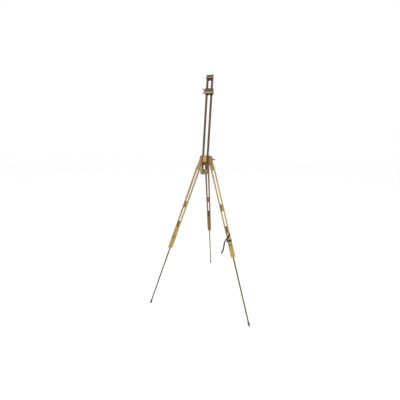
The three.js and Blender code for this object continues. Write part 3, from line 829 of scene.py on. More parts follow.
@dataclass(frozen=True)
class WingShape:
    """A cast wing: hub and ears, pointing along Z from a seat at Z = 0, its ears along X."""

    hub_radius: float
    hub_length: float
    ear_thickness: float
    bore: float = 0.0
    shank: float = 0.0
    shank_radius: float = 3.0
    shank_chamfer: float = 0.4
    voxel: float = 0.42
    smoothing: int = 6

    def ear(self, side: int, half_span: float, height: float) -> list[tuple[float, float]]:
        """One upswept ear's outline in X and Z.

        Args:
            side: -1 for left and 1 for right.
            half_span: from the axis to the ear's outer edge.
            height: from the seat to the ear's top.

        Returns:
            The outline's points, in order.
        """
        root = self.hub_radius * 0.62
        low = bezier((root, 1.2), (half_span * 0.62, 0.4), (half_span, height * 0.22),
                     (half_span - 0.2, height * 0.66))
        top = bezier((half_span - 0.2, height * 0.66), (half_span - 0.4, height + 0.8),
                     (half_span * 0.72, height + 1.4), (half_span * 0.62, height * 0.78))
        down = bezier((half_span * 0.62, height * 0.78), (half_span * 0.5, height * 0.5),
                      (self.hub_radius + 0.5, self.hub_length * 0.8), (root, self.hub_length * 0.82))
        return [(side * x, z) for x, z in low[:-1] + top[:-1] + down]

    def cast(self, name: str, node: str, body: str, seat: Seat) -> bpy.types.Object:
        """Makes the wing where its CAD node lies.

        Args:
            name: the piece's name.
            node: the CAD node, which it replaces.
            body: the body that it turns with.
            seat: the node's own axes and size.

        Returns:
            The piece.
        """
        height = seat.size.z - self.shank
        half_span = seat.size.x / 2
        top = self.hub_length
        blank = Blank()
        outer = [(self.hub_radius, 0.5), (self.hub_radius * 0.97, top * 0.3),
                 (self.hub_radius * 0.8, top * 0.9), (self.hub_radius * 0.7, top)]
        hub = [(self.bore, 0.0), (self.hub_radius - 0.6, 0.0), *outer, (self.bore, top)]
        blank.revolve(hub, 40, self.bore > 0)
        for side in (-1, 1):
            outline = self.ear(side, half_span, height)
            blank.prism(outline, -self.ear_thickness / 2, self.ear_thickness / 2)
        blank.fused(self.voxel, self.smoothing)
        if self.shank:
            radius, chamfer = self.shank_radius, self.shank_chamfer
            shank = [(0, -self.shank), (radius - chamfer, -self.shank)]
            shank += [(radius, chamfer - self.shank), (radius, 1), (0, 1)]
            blank.revolve(shank, 24)
        mesh = blank.to_mesh(seat.axes.moved(0, 0, self.shank).matrix())
        return fit_out(new_object(name, mesh, Finish.STEEL), body, Finish.STEEL, node)


def bezier(*points: tuple[float, float], steps: int = 9) -> list[tuple[float, float]]:
    """Points along a cubic curve given by its four control points."""
    found = []
    for i in range(steps):
        t = i / (steps - 1)
        weights = ((1 - t) ** 3, 3 * t * (1 - t) ** 2, 3 * t * t * (1 - t), t**3)
        found.append(tuple(sum(w * p[k] for w, p in zip(weights, points)) for k in (0, 1)))
    return found


def dome(radius: float, height: float, steps: int = 7) -> list[tuple[float, float]]:
    """A flattened dome's profile from its pole to its rim, the pole at -height."""
    angles = [math.pi / 2 * i / steps for i in range(steps + 1)]
    return [(radius * math.sin(a), -height * math.cos(a)) for a in angles]


@dataclass(frozen=True)
class DomeBolt:
    """A dome-headed bolt: its head below Z = 0 and its shank above, threaded at the far end."""

    head_height: float
    shank_radius: float
    threaded: float = 0.0
    thread_pitch: float = 1.25
    thread_depth: float = 0.45

    def turn(self, name: str, node: str, body: str, seat: Seat) -> bpy.types.Object:
        """Makes the bolt where its CAD node lies.

        Args:
            name: the piece's name.
            node: the CAD node, which it replaces.
            body: the body that it moves with.
            seat: the node's own axes and size.

        Returns:
            The piece.
        """
        head = seat.size.x / 2
        length = seat.size.z - self.head_height
        plain = length - self.threaded
        core = self.shank_radius - (self.thread_depth if self.threaded else 0)
        profile = dome(head, self.head_height)[:-1]
        profile += [(head, -0.4), (head - 0.3, 0), (self.shank_radius, 0)]
        if self.threaded:
            profile += [(self.shank_radius, plain - 0.6), (core, plain)]
        profile += [(core, length - 1), (core - 0.8, length), (0, length)]
        mesh = Blank().revolve(profile, 40).to_mesh(seat.axes.moved(0, 0, self.head_height).matrix())
        piece = new_object(name, mesh, Finish.STEEL)
        if self.threaded:
            ridge = thread_ridge(core, self.thread_depth, self.thread_pitch, self.threaded - 1.2)
            ridge.transform(seat.axes.moved(0, 0, self.head_height + plain).matrix())
            absorb(piece, ridge)
        return fit_out(piece, body, Finish.STEEL, node)


def absorb(piece: bpy.types.Object, mesh: bpy.types.Mesh) -> None:
    """Adds a mesh to a piece that has the same finish."""
    joined = bmesh.new()
    joined.from_mesh(piece.data)
    joined.from_mesh(mesh)
    joined.to_mesh(piece.data)
    joined.free()
    bpy.data.meshes.remove(mesh)


@dataclass(frozen=True)
class FlushPin:
    """A plain steel pin, its ends chamfered and level with the wood."""

    chamfer: float = 0.5

    def turn(self, name: str, node: str, body: str, seat: Seat) -> bpy.types.Object:
        """Makes the pin where its CAD node lies."""
        radius, length, chamfer = seat.size.x / 2, seat.size.z, self.chamfer
        profile = [(0, 0), (radius - chamfer, 0), (radius, chamfer)]
        profile += [(radius, length - chamfer), (radius - chamfer, length), (0, length)]
        mesh = Blank().revolve(profile, 32).to_mesh(seat.axes.matrix())
        return fit_out(new_object(name, mesh, Finish.STEEL), body, Finish.STEEL, node)


@dataclass(frozen=True)
class Washer:
    """A flat washer with rounded edges."""

    bore: float

    def press(self, name: str, node: str, body: str, seat: Seat) -> bpy.types.Object:
        """Makes the washer where its CAD node lies."""
        outer, thick = seat.size.x / 2, seat.size.z
        lip = thick * 0.22
        profile = [(self.bore, 0), (outer - lip, 0), (outer, lip), (outer, thick - lip)]
        profile += [(outer - lip, thick), (self.bore, thick)]
        mesh = Blank().revolve(profile, 48, True).to_mesh(seat.axes.matrix())
        return fit_out(new_object(name, mesh, Finish.STEEL), body, Finish.STEEL, node)


# ---- Geometry node trees --------------------------------------------------------------------


class GeometryTree(NodeTree):
    """A geometry tree with named inputs, ending in Realize Instances and Set Material."""

    def __init__(self, name: str, inputs: dict[str, tuple[str, object]]) -> None:
        """Makes the tree.

        Args:
            name: the tree's name.
            inputs: each input's kind of socket and starting value, or None for no value.
        """
        super().__init__(bpy.data.node_groups.new(name, "GeometryNodeTree"))
        sides = (("INPUT", "Geometry"), ("OUTPUT", "Geometry"))
        for side, label in sides:
            self.tree.interface.new_socket(label, in_out=side, socket_type="NodeSocketGeometry")
        self.identifiers = {}
        for label, (kind, start) in {**inputs, "Finish": ("Material", None)}.items():
            made = self.tree.interface.new_socket(
                label, in_out="INPUT", socket_type=f"NodeSocket{kind}"
            )
            if start is not None:
                made.default_value = start
            self.identifiers[label] = made.identifier
        self.entry = self.node("NodeGroupInput")

    def given(self, label: str) -> Term:
        """The input of that name."""
        return self.entry.out(label)

    def finish(self, geometry: Term) -> None:
        """Ends the tree with real, finished geometry."""
        real = self.node("GeometryNodeRealizeInstances", {}, {"Geometry": geometry}).out()
        sockets = {"Geometry": real, "Material": self.given("Finish")}
        done = self.node("GeometryNodeSetMaterial", {}, sockets).out()
        self.node("NodeGroupOutput", {}, {"Geometry": done})

    def run(self, mesh: bpy.types.Mesh, finish: Finish, **values: object) -> bpy.types.Mesh:
        """Runs the tree on a mesh.

        Args:
            mesh: what it starts from.
            finish: the finish of what it makes.
            values: its inputs, with _ for each space.

        Returns:
            A plain mesh.
        """
        host = new_object("host", mesh, None)
        modifier = host.modifiers.new("nodes", "NODES")
        modifier.node_group = self.tree
        modifier[self.identifiers["Finish"]] = finish.material()
        for label, value in values.items():
            modifier[self.identifiers[label.replace("_", " ")]] = value
        settle(host)
        made = host.data
        bpy.data.objects.remove(host)
        return made


def thread_tree() -> GeometryTree:
    """A screw thread: one triangular ridge wound up Z, its sizes in millimetres."""
    tree = GeometryTree("screw_thread", {
        "Core Radius": ("Float", 3.3),
        "Depth": ("Float", 0.45),
        "Pitch": ("Float", 1.25),
        "Length": ("Float", 12.0),
    })
    core, depth = tree.given("Core Radius"), tree.given("Depth")
    pitch, length = tree.given("Pitch"), tree.given("Length")
    helix = tree.node("GeometryNodeCurveSpiral", {}, {
        "Resolution": 28,
        "Rotations": length / pitch,
        "Start Radius": core + depth * 0.3,
        "End Radius": core + depth * 0.3,
        "Height": length,
    }).out()
    ridge = tree.node("GeometryNodeCurvePrimitiveCircle", {}, {
        "Resolution": 4,
        "Radius": depth * 0.7,
    }).out()
    wound = tree.node("GeometryNodeCurveToMesh", {}, {
        "Curve": helix,
        "Profile Curve": ridge,
        "Fill Caps": True,
    }).out()
    tree.finish(wound)
    return tree


def thread_ridge(core: float, depth: float, pitch: float, length: float) -> bpy.types.Mesh:
    """A thread's ridge in millimetres, standing on Z = 0."""
    tree = GEOMETRY["thread"]
    values = {"Core_Radius": core, "Depth": depth, "Pitch": pitch, "Length": length}
    return tree.run(bpy.data.meshes.new("empty"), Finish.STEEL, **values)


def scatter_tree(name: str, turned: bool) -> GeometryTree:
    """Copies one small shape to every point, standing along the attribute "facing".

    Args:
        name: the tree's name.
        turned: turns each copy about its own axis by a chance angle.

    Returns:
        The tree.
    """
    tree = GeometryTree(name, {"Shape": ("Object", None), "Size": ("Float", 1.0), "Seed": ("Int", 3)})
    facing = tree.node(
        "GeometryNodeInputNamedAttribute", {"data_type": "FLOAT_VECTOR"}, {"Name": "facing"}
    ).out("Attribute")
    rotation = tree.node("FunctionNodeAlignRotationToVector", {"axis": "Z"}, {"Vector": facing}).out()
    shape = tree.node("GeometryNodeObjectInfo", {}, {"Object": tree.given("Shape")}).out("Geometry")
    placed = tree.node("GeometryNodeInstanceOnPoints", {}, {
        "Points": tree.given("Geometry"),
        "Instance": shape,
        "Rotation": rotation,
        "Scale": tree.given("Size"),
    }).out()
    if turned:
        angle = tree.node("FunctionNodeRandomValue", {"data_type": "FLOAT"}, {
            2: 0.0,
            3: math.pi,
            "Seed": tree.given("Seed"),
        }).out(1)
        spin = tree.node("ShaderNodeCombineXYZ", {}, {"Z": angle}).out()
        placed = tree.node("GeometryNodeRotateInstances", {}, {
            "Instances": placed,
            "Rotation": spin,
            "Local Space": True,
        }).out()
    tree.finish(placed)
    return tree


def stitch_tree() -> GeometryTree:
    """Lays stitches of one length end to end along an open or closed line of edges."""
    tree = GeometryTree("stitches", {"Shape": ("Object", None), "Spacing": ("Float", 0.003)})
    line = tree.node("GeometryNodeMeshToCurve", {}, {"Mesh": tree.given("Geometry")}).out()
    spaced = tree.node("GeometryNodeResampleCurve", {"mode": "LENGTH"}, {
        "Curve": line,
        "Length": tree.given("Spacing"),
    }).out()
    tangent = tree.node("GeometryNodeInputTangent").out()
    rotation = tree.node("FunctionNodeAlignRotationToVector", {"axis": "X"}, {"Vector": tangent}).out()
    shape = tree.node("GeometryNodeObjectInfo", {}, {"Object": tree.given("Shape")}).out("Geometry")
    laid = tree.node("GeometryNodeInstanceOnPoints", {}, {
        "Points": spaced,
        "Instance": shape,
        "Rotation": rotation,
    }).out()
    tree.finish(laid)
    return tree


GEOMETRY: dict[str, GeometryTree] = {}


@dataclass(frozen=True)
class ScrewRow:
    """Slotted, dome-headed wood screws that fasten one wooden piece to another."""

    head_radius: float = 2.9
    head_height: float = 1.3
    slot_width: float = 0.8
    slot_depth: float = 0.7

    def pattern(self) -> bpy.types.Object:
        """The screw head that every screw of the easel is a copy of, in metres."""
        found = bpy.data.objects.get("screw_head")
        if found:
            return found
        blank = Blank()
        rim = dome(self.head_radius, self.head_height, 5)
        upper = [(radius, -station) for radius, station in rim]
        blank.revolve([*upper, (self.head_radius * 0.92, -0.5), (0, -0.5)], 20)
        half = self.slot_width / 2
        for vertex in blank.mesh.verts:
            inside = abs(vertex.co.y) < half + 0.35 and vertex.co.z > 0.35
            if inside and abs(vertex.co.x) < self.head_radius:
                vertex.co.z -= self.slot_depth
        head = new_object("screw_head", blank.to_mesh(Matrix.Scale(MILLIMETRE, 4)), Finish.STEEL)
        head.hide_render = True
        head.hide_viewport = True
        return head

    def drive(self, name: str, body: str, axes: Axes,
              places: Iterable[tuple[Point, Facing]], seed: int) -> bpy.types.Object:
        """Drives screws in at places of a sub-assembly.

        Args:
            name: the piece's name.
            body: the body that they move with.
            axes: the sub-assembly's axes.
            places: each screw's seat in millimetres, and the way its head faces.
            seed: picks how the slots are turned.

        Returns:
            The screws as one piece.
        """
        places = list(places)
        mesh = bpy.data.meshes.new("places")
        mesh.from_pydata([axes.point(*point) for point, _ in places], [], [])
        facing = mesh.attributes.new("facing", "FLOAT_VECTOR", "POINT")
        for i, (_, way) in enumerate(places):
            facing.data[i].vector = axes.direction(*way.value)
        made = GEOMETRY["screws"].run(mesh, Finish.STEEL, Shape=self.pattern(), Size=1.0, Seed=seed)
        return fit_out(new_object(name, made, Finish.STEEL), body, Finish.STEEL)


# ---- Webbing --------------------------------------------------------------------------------


@dataclass(frozen=True)
class Webbing:
    """Flat woven webbing, ribbed across its length."""

    width: float = 12.0
    thickness: float = 1.7
    rib_pitch: float = 1.6
    rib_height: float = 0.07
    step: float = 0.8

    def section(self, half: float, thick: float) -> list[tuple[float, float]]:
        """The band's section: (across, outward) pairs with rounded selvedges."""
        flat = half - thick / 2
        across = [-flat + 2 * flat * i / 6 for i in range(7)]
        turn = [math.pi * i / 4 for i in range(1, 4)]
        right = [(flat + thick / 2 * math.sin(a), thick / 2 * math.cos(a)) for a in turn]
        top = [(x, thick / 2) for x in across]
        bottom = [(x, -thick / 2) for x in reversed(across)]
        left = [(-flat - thick / 2 * math.sin(a), -thick / 2 * math.cos(a)) for a in turn]
        return top + right + bottom + left

    def weave(self, name: str, matrix: Matrix, line: Sequence[Vector], outward: Sequence[Vector],
              half_widths: Sequence[float], looped: bool,
              fixed_side: Vector | None = None) -> bpy.types.Object:
        """Sweeps the section along a line.

        Args:
            name: the piece's name.
            matrix: the transform from the line's millimetres to the row frame.
            line: the middle of the band, at even steps.
            outward: the band's outward direction at each point.
            half_widths: half the band's width at each point.
            looped: the line closes on itself.
            fixed_side: the way across the band, or None to take it square to the line.

        Returns:
            The band.
        """
        count = len(line)
        rings = []
        travelled = 0.0
        stations = []
        for i, place in enumerate(line):
            before = line[i - 1] if looped or i else place
            after = line[(i + 1) % count] if looped or i < count - 1 else place
            tangent = (after - before).normalized()
            side = fixed_side or outward[i].cross(tangent).normalized()
            rise = self.rib_height * math.cos(2 * math.pi * travelled / self.rib_pitch)
            ring = self.section(half_widths[i], self.thickness + rise)
            rings.append([tuple(place + side * u + outward[i] * v) for u, v in ring])
            stations.append(travelled)
            travelled += (line[(i + 1) % count] - place).length
        blank = Blank().loft(rings, looped)
        self.map_band(blank, len(rings[0]), stations, looped)
        mesh = blank.to_mesh(matrix)
        return new_object(name, mesh, Finish.WEBBING)

    def map_band(self, blank: Blank, around: int, stations: Sequence[float], looped: bool) -> None:
        """Gives the band its UV in metres: U along it and V round its section."""
        layer = blank.mesh.loops.layers.uv.new("band")
        blank.mesh.verts.index_update()
        total = len(stations)
        pitch_round = 2 * (self.width + self.thickness) / around
        for face in blank.mesh.faces:
            rows = [loop.vert.index // around for loop in face.loops]
            columns = [loop.vert.index % around for loop in face.loops]
            wraps_row = looped and max(rows) == total - 1 and min(rows) == 0 and len(face.verts) == 4
            wraps_column = max(columns) == around - 1 and min(columns) == 0 and len(face.verts) == 4
            for loop, row, column in zip(face.loops, rows, columns):
                u = stations[row] + (stations[-1] + self.step if wraps_row and row == 0 else 0)
                v = (column + (around if wraps_column and column == 0 else 0)) * pitch_round
                loop[layer].uv = (u * MILLIMETRE, v * MILLIMETRE)


def smooth_line(points: Sequence[Vector], step: float) -> list[Vector]:
    """Points at even steps along a curve through the given points."""
    dense = []
    for i in range(len(points) - 1):
        before = points[max(i - 1, 0)]
        start, end = points[i], points[i + 1]
        after = points[min(i + 2, len(points) - 1)]
        for k in range(20):
            t = k / 20
            dense.append(0.5 * (2 * start + (end - before) * t
                                + (2 * before - 5 * start + 4 * end - after) * t**2
                                + (3 * start - before - 3 * end + after) * t**3))
    dense.append(points[-1])
    lengths = [0.0]
    for first, second in zip(dense, dense[1:]):
        lengths.append(lengths[-1] + (second - first).length)
    count = max(2, round(lengths[-1] / step))
    found = []
    index = 0
    for n in range(count + 1):
        wanted = lengths[-1] * n / count
        while index < len(lengths) - 2 and lengths[index + 1] < wanted:
            index += 1
        share = (wanted - lengths[index]) / max(lengths[index + 1] - lengths[index], 1e-9)
        found.append(dense[index].lerp(dense[index + 1], min(share, 1.0)))
    return found


def rounded_ring(half_x: float, half_y: float, radius: float,
                 step: float) -> list[tuple[Vector, Vector]]:
    """(place, outward) pairs round a rounded rectangle in X and Y, from the front's middle."""
    corners = [(1, -1, -90), (1, 1, 0), (-1, 1, 90), (-1, -1, 180)]
    path = [(Vector((0, -half_y, 0)), Vector((0, -1, 0)))]
    for x, y, start in corners:
        centre = Vector((x * (half_x - radius), y * (half_y - radius), 0))
        for i in range(5):
            angle = math.radians(start + 90 * i / 4)
            way = Vector((math.cos(angle), math.sin(angle), 0))
            path.append((centre + way * radius, way))
    path.append(path[0])
    found = []
    for (a, way_a), (b, way_b) in zip(path, path[1:]):
        pieces = max(1, round((b - a).length / step))
        for i in range(pieces):
            share = i / pieces
            found.append((a.lerp(b, share), way_a.lerp(way_b, share).normalized()))
    return found


# ---- Sub-assemblies -------------------------------------------------------------------------


@dataclass
class Head:
    """The wooden head, its hinge pins, the rear leg's cross bolt and the mast's clamp."""

    axes: Axes = field(default_factory=front_axes)
    cross_bolt: DomeBolt = DomeBolt(head_height=5, shank_radius=3.8, threaded=18)
    large_wing: WingShape = WingShape(7.5, 13, 3.4, bore=4.2)
    plate_easing: float = 1.3
    upright_easing: float = 1.1
    toggle_easing: float = 2.4
    stud_thread: float = 24
    thread_pitch: float = 1.25
    thread_depth: float = 0.45
    thread_taper: float = 0.6
    screw_columns: tuple[float, ...] = (-37, -12, 12, 37)
    screw_rise: float = 13
    washer_bore: float = 4.2

    def build(self) -> None:
        """Makes the head's wood, metal and screws."""
        self.build_wood()
        self.build_pins()
        self.build_stud()
        self.build_screws()

    def build_wood(self) -> None:
        """Cuts the plates, core, ears, tongue and the toggle that clamps the mast."""
        crosswise = Board(Finish.VARNISHED, GrainRun.CROSSWISE, self.plate_easing)
        upright = Board(Finish.VARNISHED, GrainRun.UPRIGHT, self.upright_easing)
        for node in ("head_front_plate", "head_back_plate"):
            crosswise.cut(node, "head", self.axes)
        for node in ("head_core", "head_ear_left", "head_ear_right", "mast_guide_tongue"):
            upright.cut(node, "head", self.axes)
        toggle = Board(Finish.VARNISHED, GrainRun.UPRIGHT, self.toggle_easing)
        toggle.cut("mast_clamp_toggle", "mast_clamp_toggle", self.axes)

    def build_pins(self) -> None:
        """Turns the two hinge pins, and the cross bolt with its washer and wing nut."""
        for side in ("left", "right"):
            node = f"hinge_pin_{side}"
            seat = Seat.of(node, self.axes, Facing.REAR, Facing.RIGHT)
            FlushPin().turn(f"{node}_steel", node, "head", seat)
        bolt = Seat.of("rear_hinge_bolt", self.axes, Facing.RIGHT, Facing.REAR)
        self.cross_bolt.turn("rear_hinge_cross_bolt", "rear_hinge_bolt", "head", bolt)
        ring = Seat.of("rear_hinge_washer", self.axes, Facing.RIGHT, Facing.REAR)
        Washer(self.washer_bore).press("rear_hinge_flat_washer", "rear_hinge_washer", "head", ring)
        nut = Seat.of("rear_hinge_wing_nut", self.axes, Facing.RIGHT, Facing.REAR)
        self.large_wing.cast("rear_hinge_wings", "rear_hinge_wing_nut", "rear_hinge_nut", nut)

    def build_stud(self) -> None:
        """Makes the threaded stud that the toggle turns on and the mast slides over."""
        seat = Seat.of("mast_clamp_stud", self.axes, Facing.FRONT, Facing.RIGHT)
        radius, length = seat.size.x / 2, seat.size.z
        core, start = radius - self.thread_depth, length - self.stud_thread
        cut = start + self.thread_taper
        profile = [(0, 0), (radius, 0), (radius, start), (core, cut)]
        profile += [(core, length - 1), (core - 0.8, length), (0, length)]
        mesh = Blank().revolve(profile, 32).to_mesh(seat.axes.matrix())
        piece = new_object("mast_clamp_threaded_stud", mesh, Finish.STEEL)
        run = self.stud_thread - 3 * self.thread_taper
        ridge = thread_ridge(core, self.thread_depth, self.thread_pitch, run)
        ridge.transform(seat.axes.moved(0, 0, cut).matrix())
        absorb(piece, ridge)
        fit_out(piece, "head", Finish.STEEL, "mast_clamp_stud")

    def build_screws(self) -> None:
        """Screws the back plate to the core and to the ears' feet."""
        low, high = self.axes.extent("head_back_plate")
        row = low.z + self.screw_rise
        places = [((x, high.y, row), Facing.REAR) for x in self.screw_columns]
        ScrewRow().drive("back_plate_screws", "head", self.axes, places, 5)


@dataclass
class Mast:
    """The slotted mast with its blocks and top bar."""

    axes: Axes = field(default_factory=front_axes)
    rail_easing: float = 1.2
    block_easing: float = 0.7
    bar_easing: float = 1.4

    def build(self) -> None:
        """Cuts the mast's pieces and drives its screws."""
        stained = Board(Finish.STAINED, easing=self.rail_easing)
        for side in ("left", "right"):
            stained.cut(f"mast_rail_{side}", "mast", self.axes)
        block = Board(Finish.STAINED, easing=self.block_easing)
        for end in ("top", "bottom"):
            block.cut(f"mast_{end}_block", "mast", self.axes)
        bar = Board(Finish.BATTEN, GrainRun.CROSSWISE, self.bar_easing)
        bar.cut("mast_top_bar", "mast", self.axes)
        places = []
        rail_low, rail_high = self.axes.extent("mast_rail_right")
        middle = (rail_low.y + rail_high.y) / 2
        for end in ("top", "bottom"):
            block_low, block_high = self.axes.extent(f"mast_{end}_block")
            height = (block_low.z + block_high.z) / 2
            places += [((rail_high.x, middle, height), Facing.RIGHT)]
            places += [((-rail_high.x, middle, height), Facing.LEFT)]
        ScrewRow().drive("mast_screws", "mast", self.axes, places, 11)


@dataclass
class CanvasRest:
    """The shelf at the mast's foot, and the bolt and wing nut that lock it."""

    axes: Axes = field(default_factory=front_axes)
    bolt: DomeBolt = DomeBolt(3, 3, threaded=16, thread_pitch=1.0, thread_depth=0.4)
    washer: Washer = Washer(3.4)
    wing: WingShape = WingShape(6, 9, 3.0, bore=3.4)
    easing: float = 1.2

    def build(self) -> None:
        """Makes the shelf and its fastening."""
        shelf = Board(Finish.OLIVE, GrainRun.CROSSWISE, self.easing)
        shelf.cut("rest_shelf", "rest", self.axes)
        seat = Seat.of("rest_bolt", self.axes, Facing.REAR, Facing.RIGHT)
        self.bolt.turn("rest_clamp_bolt", "rest_bolt", "rest", seat)
        ring = Seat.of("rest_washer", self.axes, Facing.REAR, Facing.RIGHT)
        self.washer.press("rest_plate_washer", "rest_washer", "rest", ring)
        nut = Seat.of("rest_wing_nut", self.axes, Facing.REAR, Facing.RIGHT)
        self.wing.cast("rest_wings", "rest_wing_nut", "rest_nut", nut)


@dataclass
class CanvasHolder:
    """The saddle that slides on the mast and catches the canvas's top edge."""

    axes: Axes = field(default_factory=front_axes)
    wing: WingShape = WingShape(7.5, 13, 3.4, shank=5.0)
    screw_columns: tuple[float, ...] = (-19, 19)

    def build(self) -> None:
        """Makes the saddle, its slide block, screws and wing screw."""
        woods = (
            # The saddle's dark brown is painted shade for its underside, which is seen from below.
            ("holder_saddle", Finish.STAINED, 1.2),
            ("holder_front_bar", Finish.BATTEN, 1.4),
            ("holder_slide_block", Finish.STAINED, 1.0),
        )
        for node, finish, easing in woods:
            Board(finish, GrainRun.CROSSWISE, easing).cut(node, "holder", self.axes)
        seat = Seat.of("holder_wing_screw", self.axes, Facing.LEFT, Facing.UP)
        self.wing.cast("holder_wings", "holder_wing_screw", "holder_screw", seat)
        low, high = self.axes.extent("holder_slide_block")
        height = (low.z + high.z) / 2
        places = [((x, high.y, height), Facing.REAR) for x in self.screw_columns]
        ScrewRow().drive("holder_screws", "holder", self.axes, places, 17)


@dataclass
class Leg:
    """A telescopic leg: hinge block, slats, bridge, guide block, wing screw, rod and tip."""

    name: str
    bolt: DomeBolt = DomeBolt(head_height=2.5, shank_radius=2.5)
    wing: WingShape = WingShape(6, 10, 3.0, shank=5.0)
    bridge_screw_inset: float = 14
    guide_screw_drops: tuple[float, ...] = (28, 42)
    tip_radius: float = 8.0
    tip_length: float = 30.0
    spigot_radius: float = 4.4
    clearance: float = 0.3
    groove_stations: tuple[float, ...] = (15.0, 19.0, 23.0)
    axes: Axes = field(init=False)

    def __post_init__(self) -> None:
        """Takes the leg's axes from its joints."""
        self.axes = leg_axes(self.name)

    def build(self) -> None:
        """Makes the whole leg."""
        self.build_wood()
        self.build_rod()
        self.build_tip()
        self.build_metal()

    def node(self, piece: str) -> str:
        """The leg's CAD node of that kind."""
        return f"{self.name}_{piece}"

    def build_wood(self) -> None:
        """Cuts the hinge block, slats, bridge, guide block and rod head."""
        # The front legs' bridges wear a lighter copy of the pale beech: painted light against the
        # shade between the slats.
        finishes = (Finish.PALE, Finish.FRESH, Finish.GOLDEN)
        # The rear leg wears darker copies of the same beech: painted shade for its face turned from
        # the light.
        if self.name == "rear":
            finishes = (Finish.AGED, Finish.AGED, Finish.AGED_GUIDE)
        upper, bridge, guide = finishes
        body = self.node("leg")
        woods = [(piece, upper, 1.0) for piece in ("hinge_block", "slat_left", "slat_right")]
        woods += [("slat_bridge", bridge, 1.0), ("guide_block", guide, 1.4)]
        for piece, finish, easing in woods:
            Board(finish, easing=easing).cut(self.node(piece), body, self.axes)
        Board(Finish.DOWEL, easing=0.8).cut(self.node("rod_head"), self.node("rod"), self.axes)

    def build_rod(self) -> None:
        """Turns the dowel rod, with the thinner spigot that its head sits on."""
        seat = Seat.of(self.node("rod"), self.axes, Facing.UP, Facing.RIGHT)
        radius, length, spigot = seat.size.x / 2, seat.size.z, self.spigot_radius
        foot = self.axes.extent(self.node("rod"))[0].z
        shoulder = self.axes.extent(self.node("rod_head"))[0].z - self.clearance - foot
        profile = [(0, 0), (radius - 0.8, 0), (radius, 0.8), (radius, shoulder - 1.2)]
        profile += [(radius - 1.2, shoulder), (spigot, shoulder), (spigot, length - 0.8)]
        profile += [(spigot - 0.8, length), (0, length)]
        mesh = Blank().revolve(profile, 36).to_mesh(seat.axes.matrix())
        piece = new_object(self.node("dowel"), mesh, Finish.DOWEL)
        Board(Finish.DOWEL).mark_grain(mesh, piece.name, self.axes)
        mesh.attributes.new("edge", "FLOAT", "FACE")
        soften_shading(piece)
        fit_out(piece, self.node("rod"), Finish.DOWEL, self.node("rod"))

    def build_tip(self) -> None:
        """Moulds the grooved rubber tip and trims its foot level with the floor."""
        rod = Seat.of(self.node("rod"), self.axes, Facing.UP, Facing.RIGHT)
        start = rod.axes.origin
        drop = start.z / self.axes.up.z / MILLIMETRE
        foot = rod.axes.moved(0, 0, -drop)
        inner = rod.size.x / 2 + 0.15
        radius = self.tip_radius
        profile = [(0, -8), (radius, -8), (radius, 10)]
        for station in self.groove_stations:
            profile += [(radius, station - 0.9), (radius - 0.7, station - 0.3)]
            profile += [(radius - 0.7, station + 0.3), (radius, station + 0.9)]
        top = self.tip_length
        profile += [(radius, top - 3), (radius - 0.25, top - 1.2), (radius - 0.7, top - 0.3)]
        profile += [(inner + 0.3, top), (inner, top - 0.4), (inner, drop + 0.2), (0, drop + 0.2)]
        blank = Blank().revolve(profile, 40)
        blank.mesh.transform(foot.matrix())
        geometry = [*blank.mesh.verts, *blank.mesh.edges, *blank.mesh.faces]
        cut = bmesh.ops.bisect_plane(
            blank.mesh, geom=geometry, plane_co=(0, 0, 0), plane_no=(0, 0, 1), clear_inner=True
        )
        rim = [item for item in cut["geom_cut"] if isinstance(item, bmesh.types.BMEdge)]
        bmesh.ops.contextual_create(blank.mesh, geom=rim)
        mesh = blank.to_mesh(Matrix.Identity(4))
        mesh.set_sharp_from_angle(angle=math.radians(40))
        piece = new_object(self.node("rubber_foot"), mesh, Finish.RUBBER)
        fit_out(piece, self.node("rod"), Finish.RUBBER, self.node("rod_tip"))

    def build_metal(self) -> None:
        """Makes the slat bolt, the wing screw and the wood screws."""
        body = self.node("leg")
        seat = Seat.of(self.node("slat_bolt"), self.axes, Facing.RIGHT, Facing.REAR)
        self.bolt.turn(self.node("slat_rivet"), self.node("slat_bolt"), body, seat)
        screw = Seat.of(self.node("wing_screw"), self.axes, Facing.FRONT, Facing.RIGHT)
        self.wing.cast(self.node("wings"), self.node("wing_screw"), self.node("screw"), screw)
        side = self.axes.extent(self.node("slat_right"))[1].x
        bridge_low, bridge_high = self.axes.extent(self.node("slat_bridge"))
        guide_top = self.axes.extent(self.node("guide_block"))[1].z
        bridge_y = (bridge_low.y + bridge_high.y) / 2
        inset = self.bridge_screw_inset
        heights = [(bridge_y, bridge_high.z - inset), (bridge_y, bridge_low.z + inset)]
        heights += [(0.0, guide_top - drop) for drop in self.guide_screw_drops]
        places = []
        for y, z in heights:
            places.append(((side, y, z), Facing.RIGHT))
            places.append(((-side, y, z), Facing.LEFT))
        ScrewRow().drive(self.node("slat_screws"), body, self.axes, places, 23)


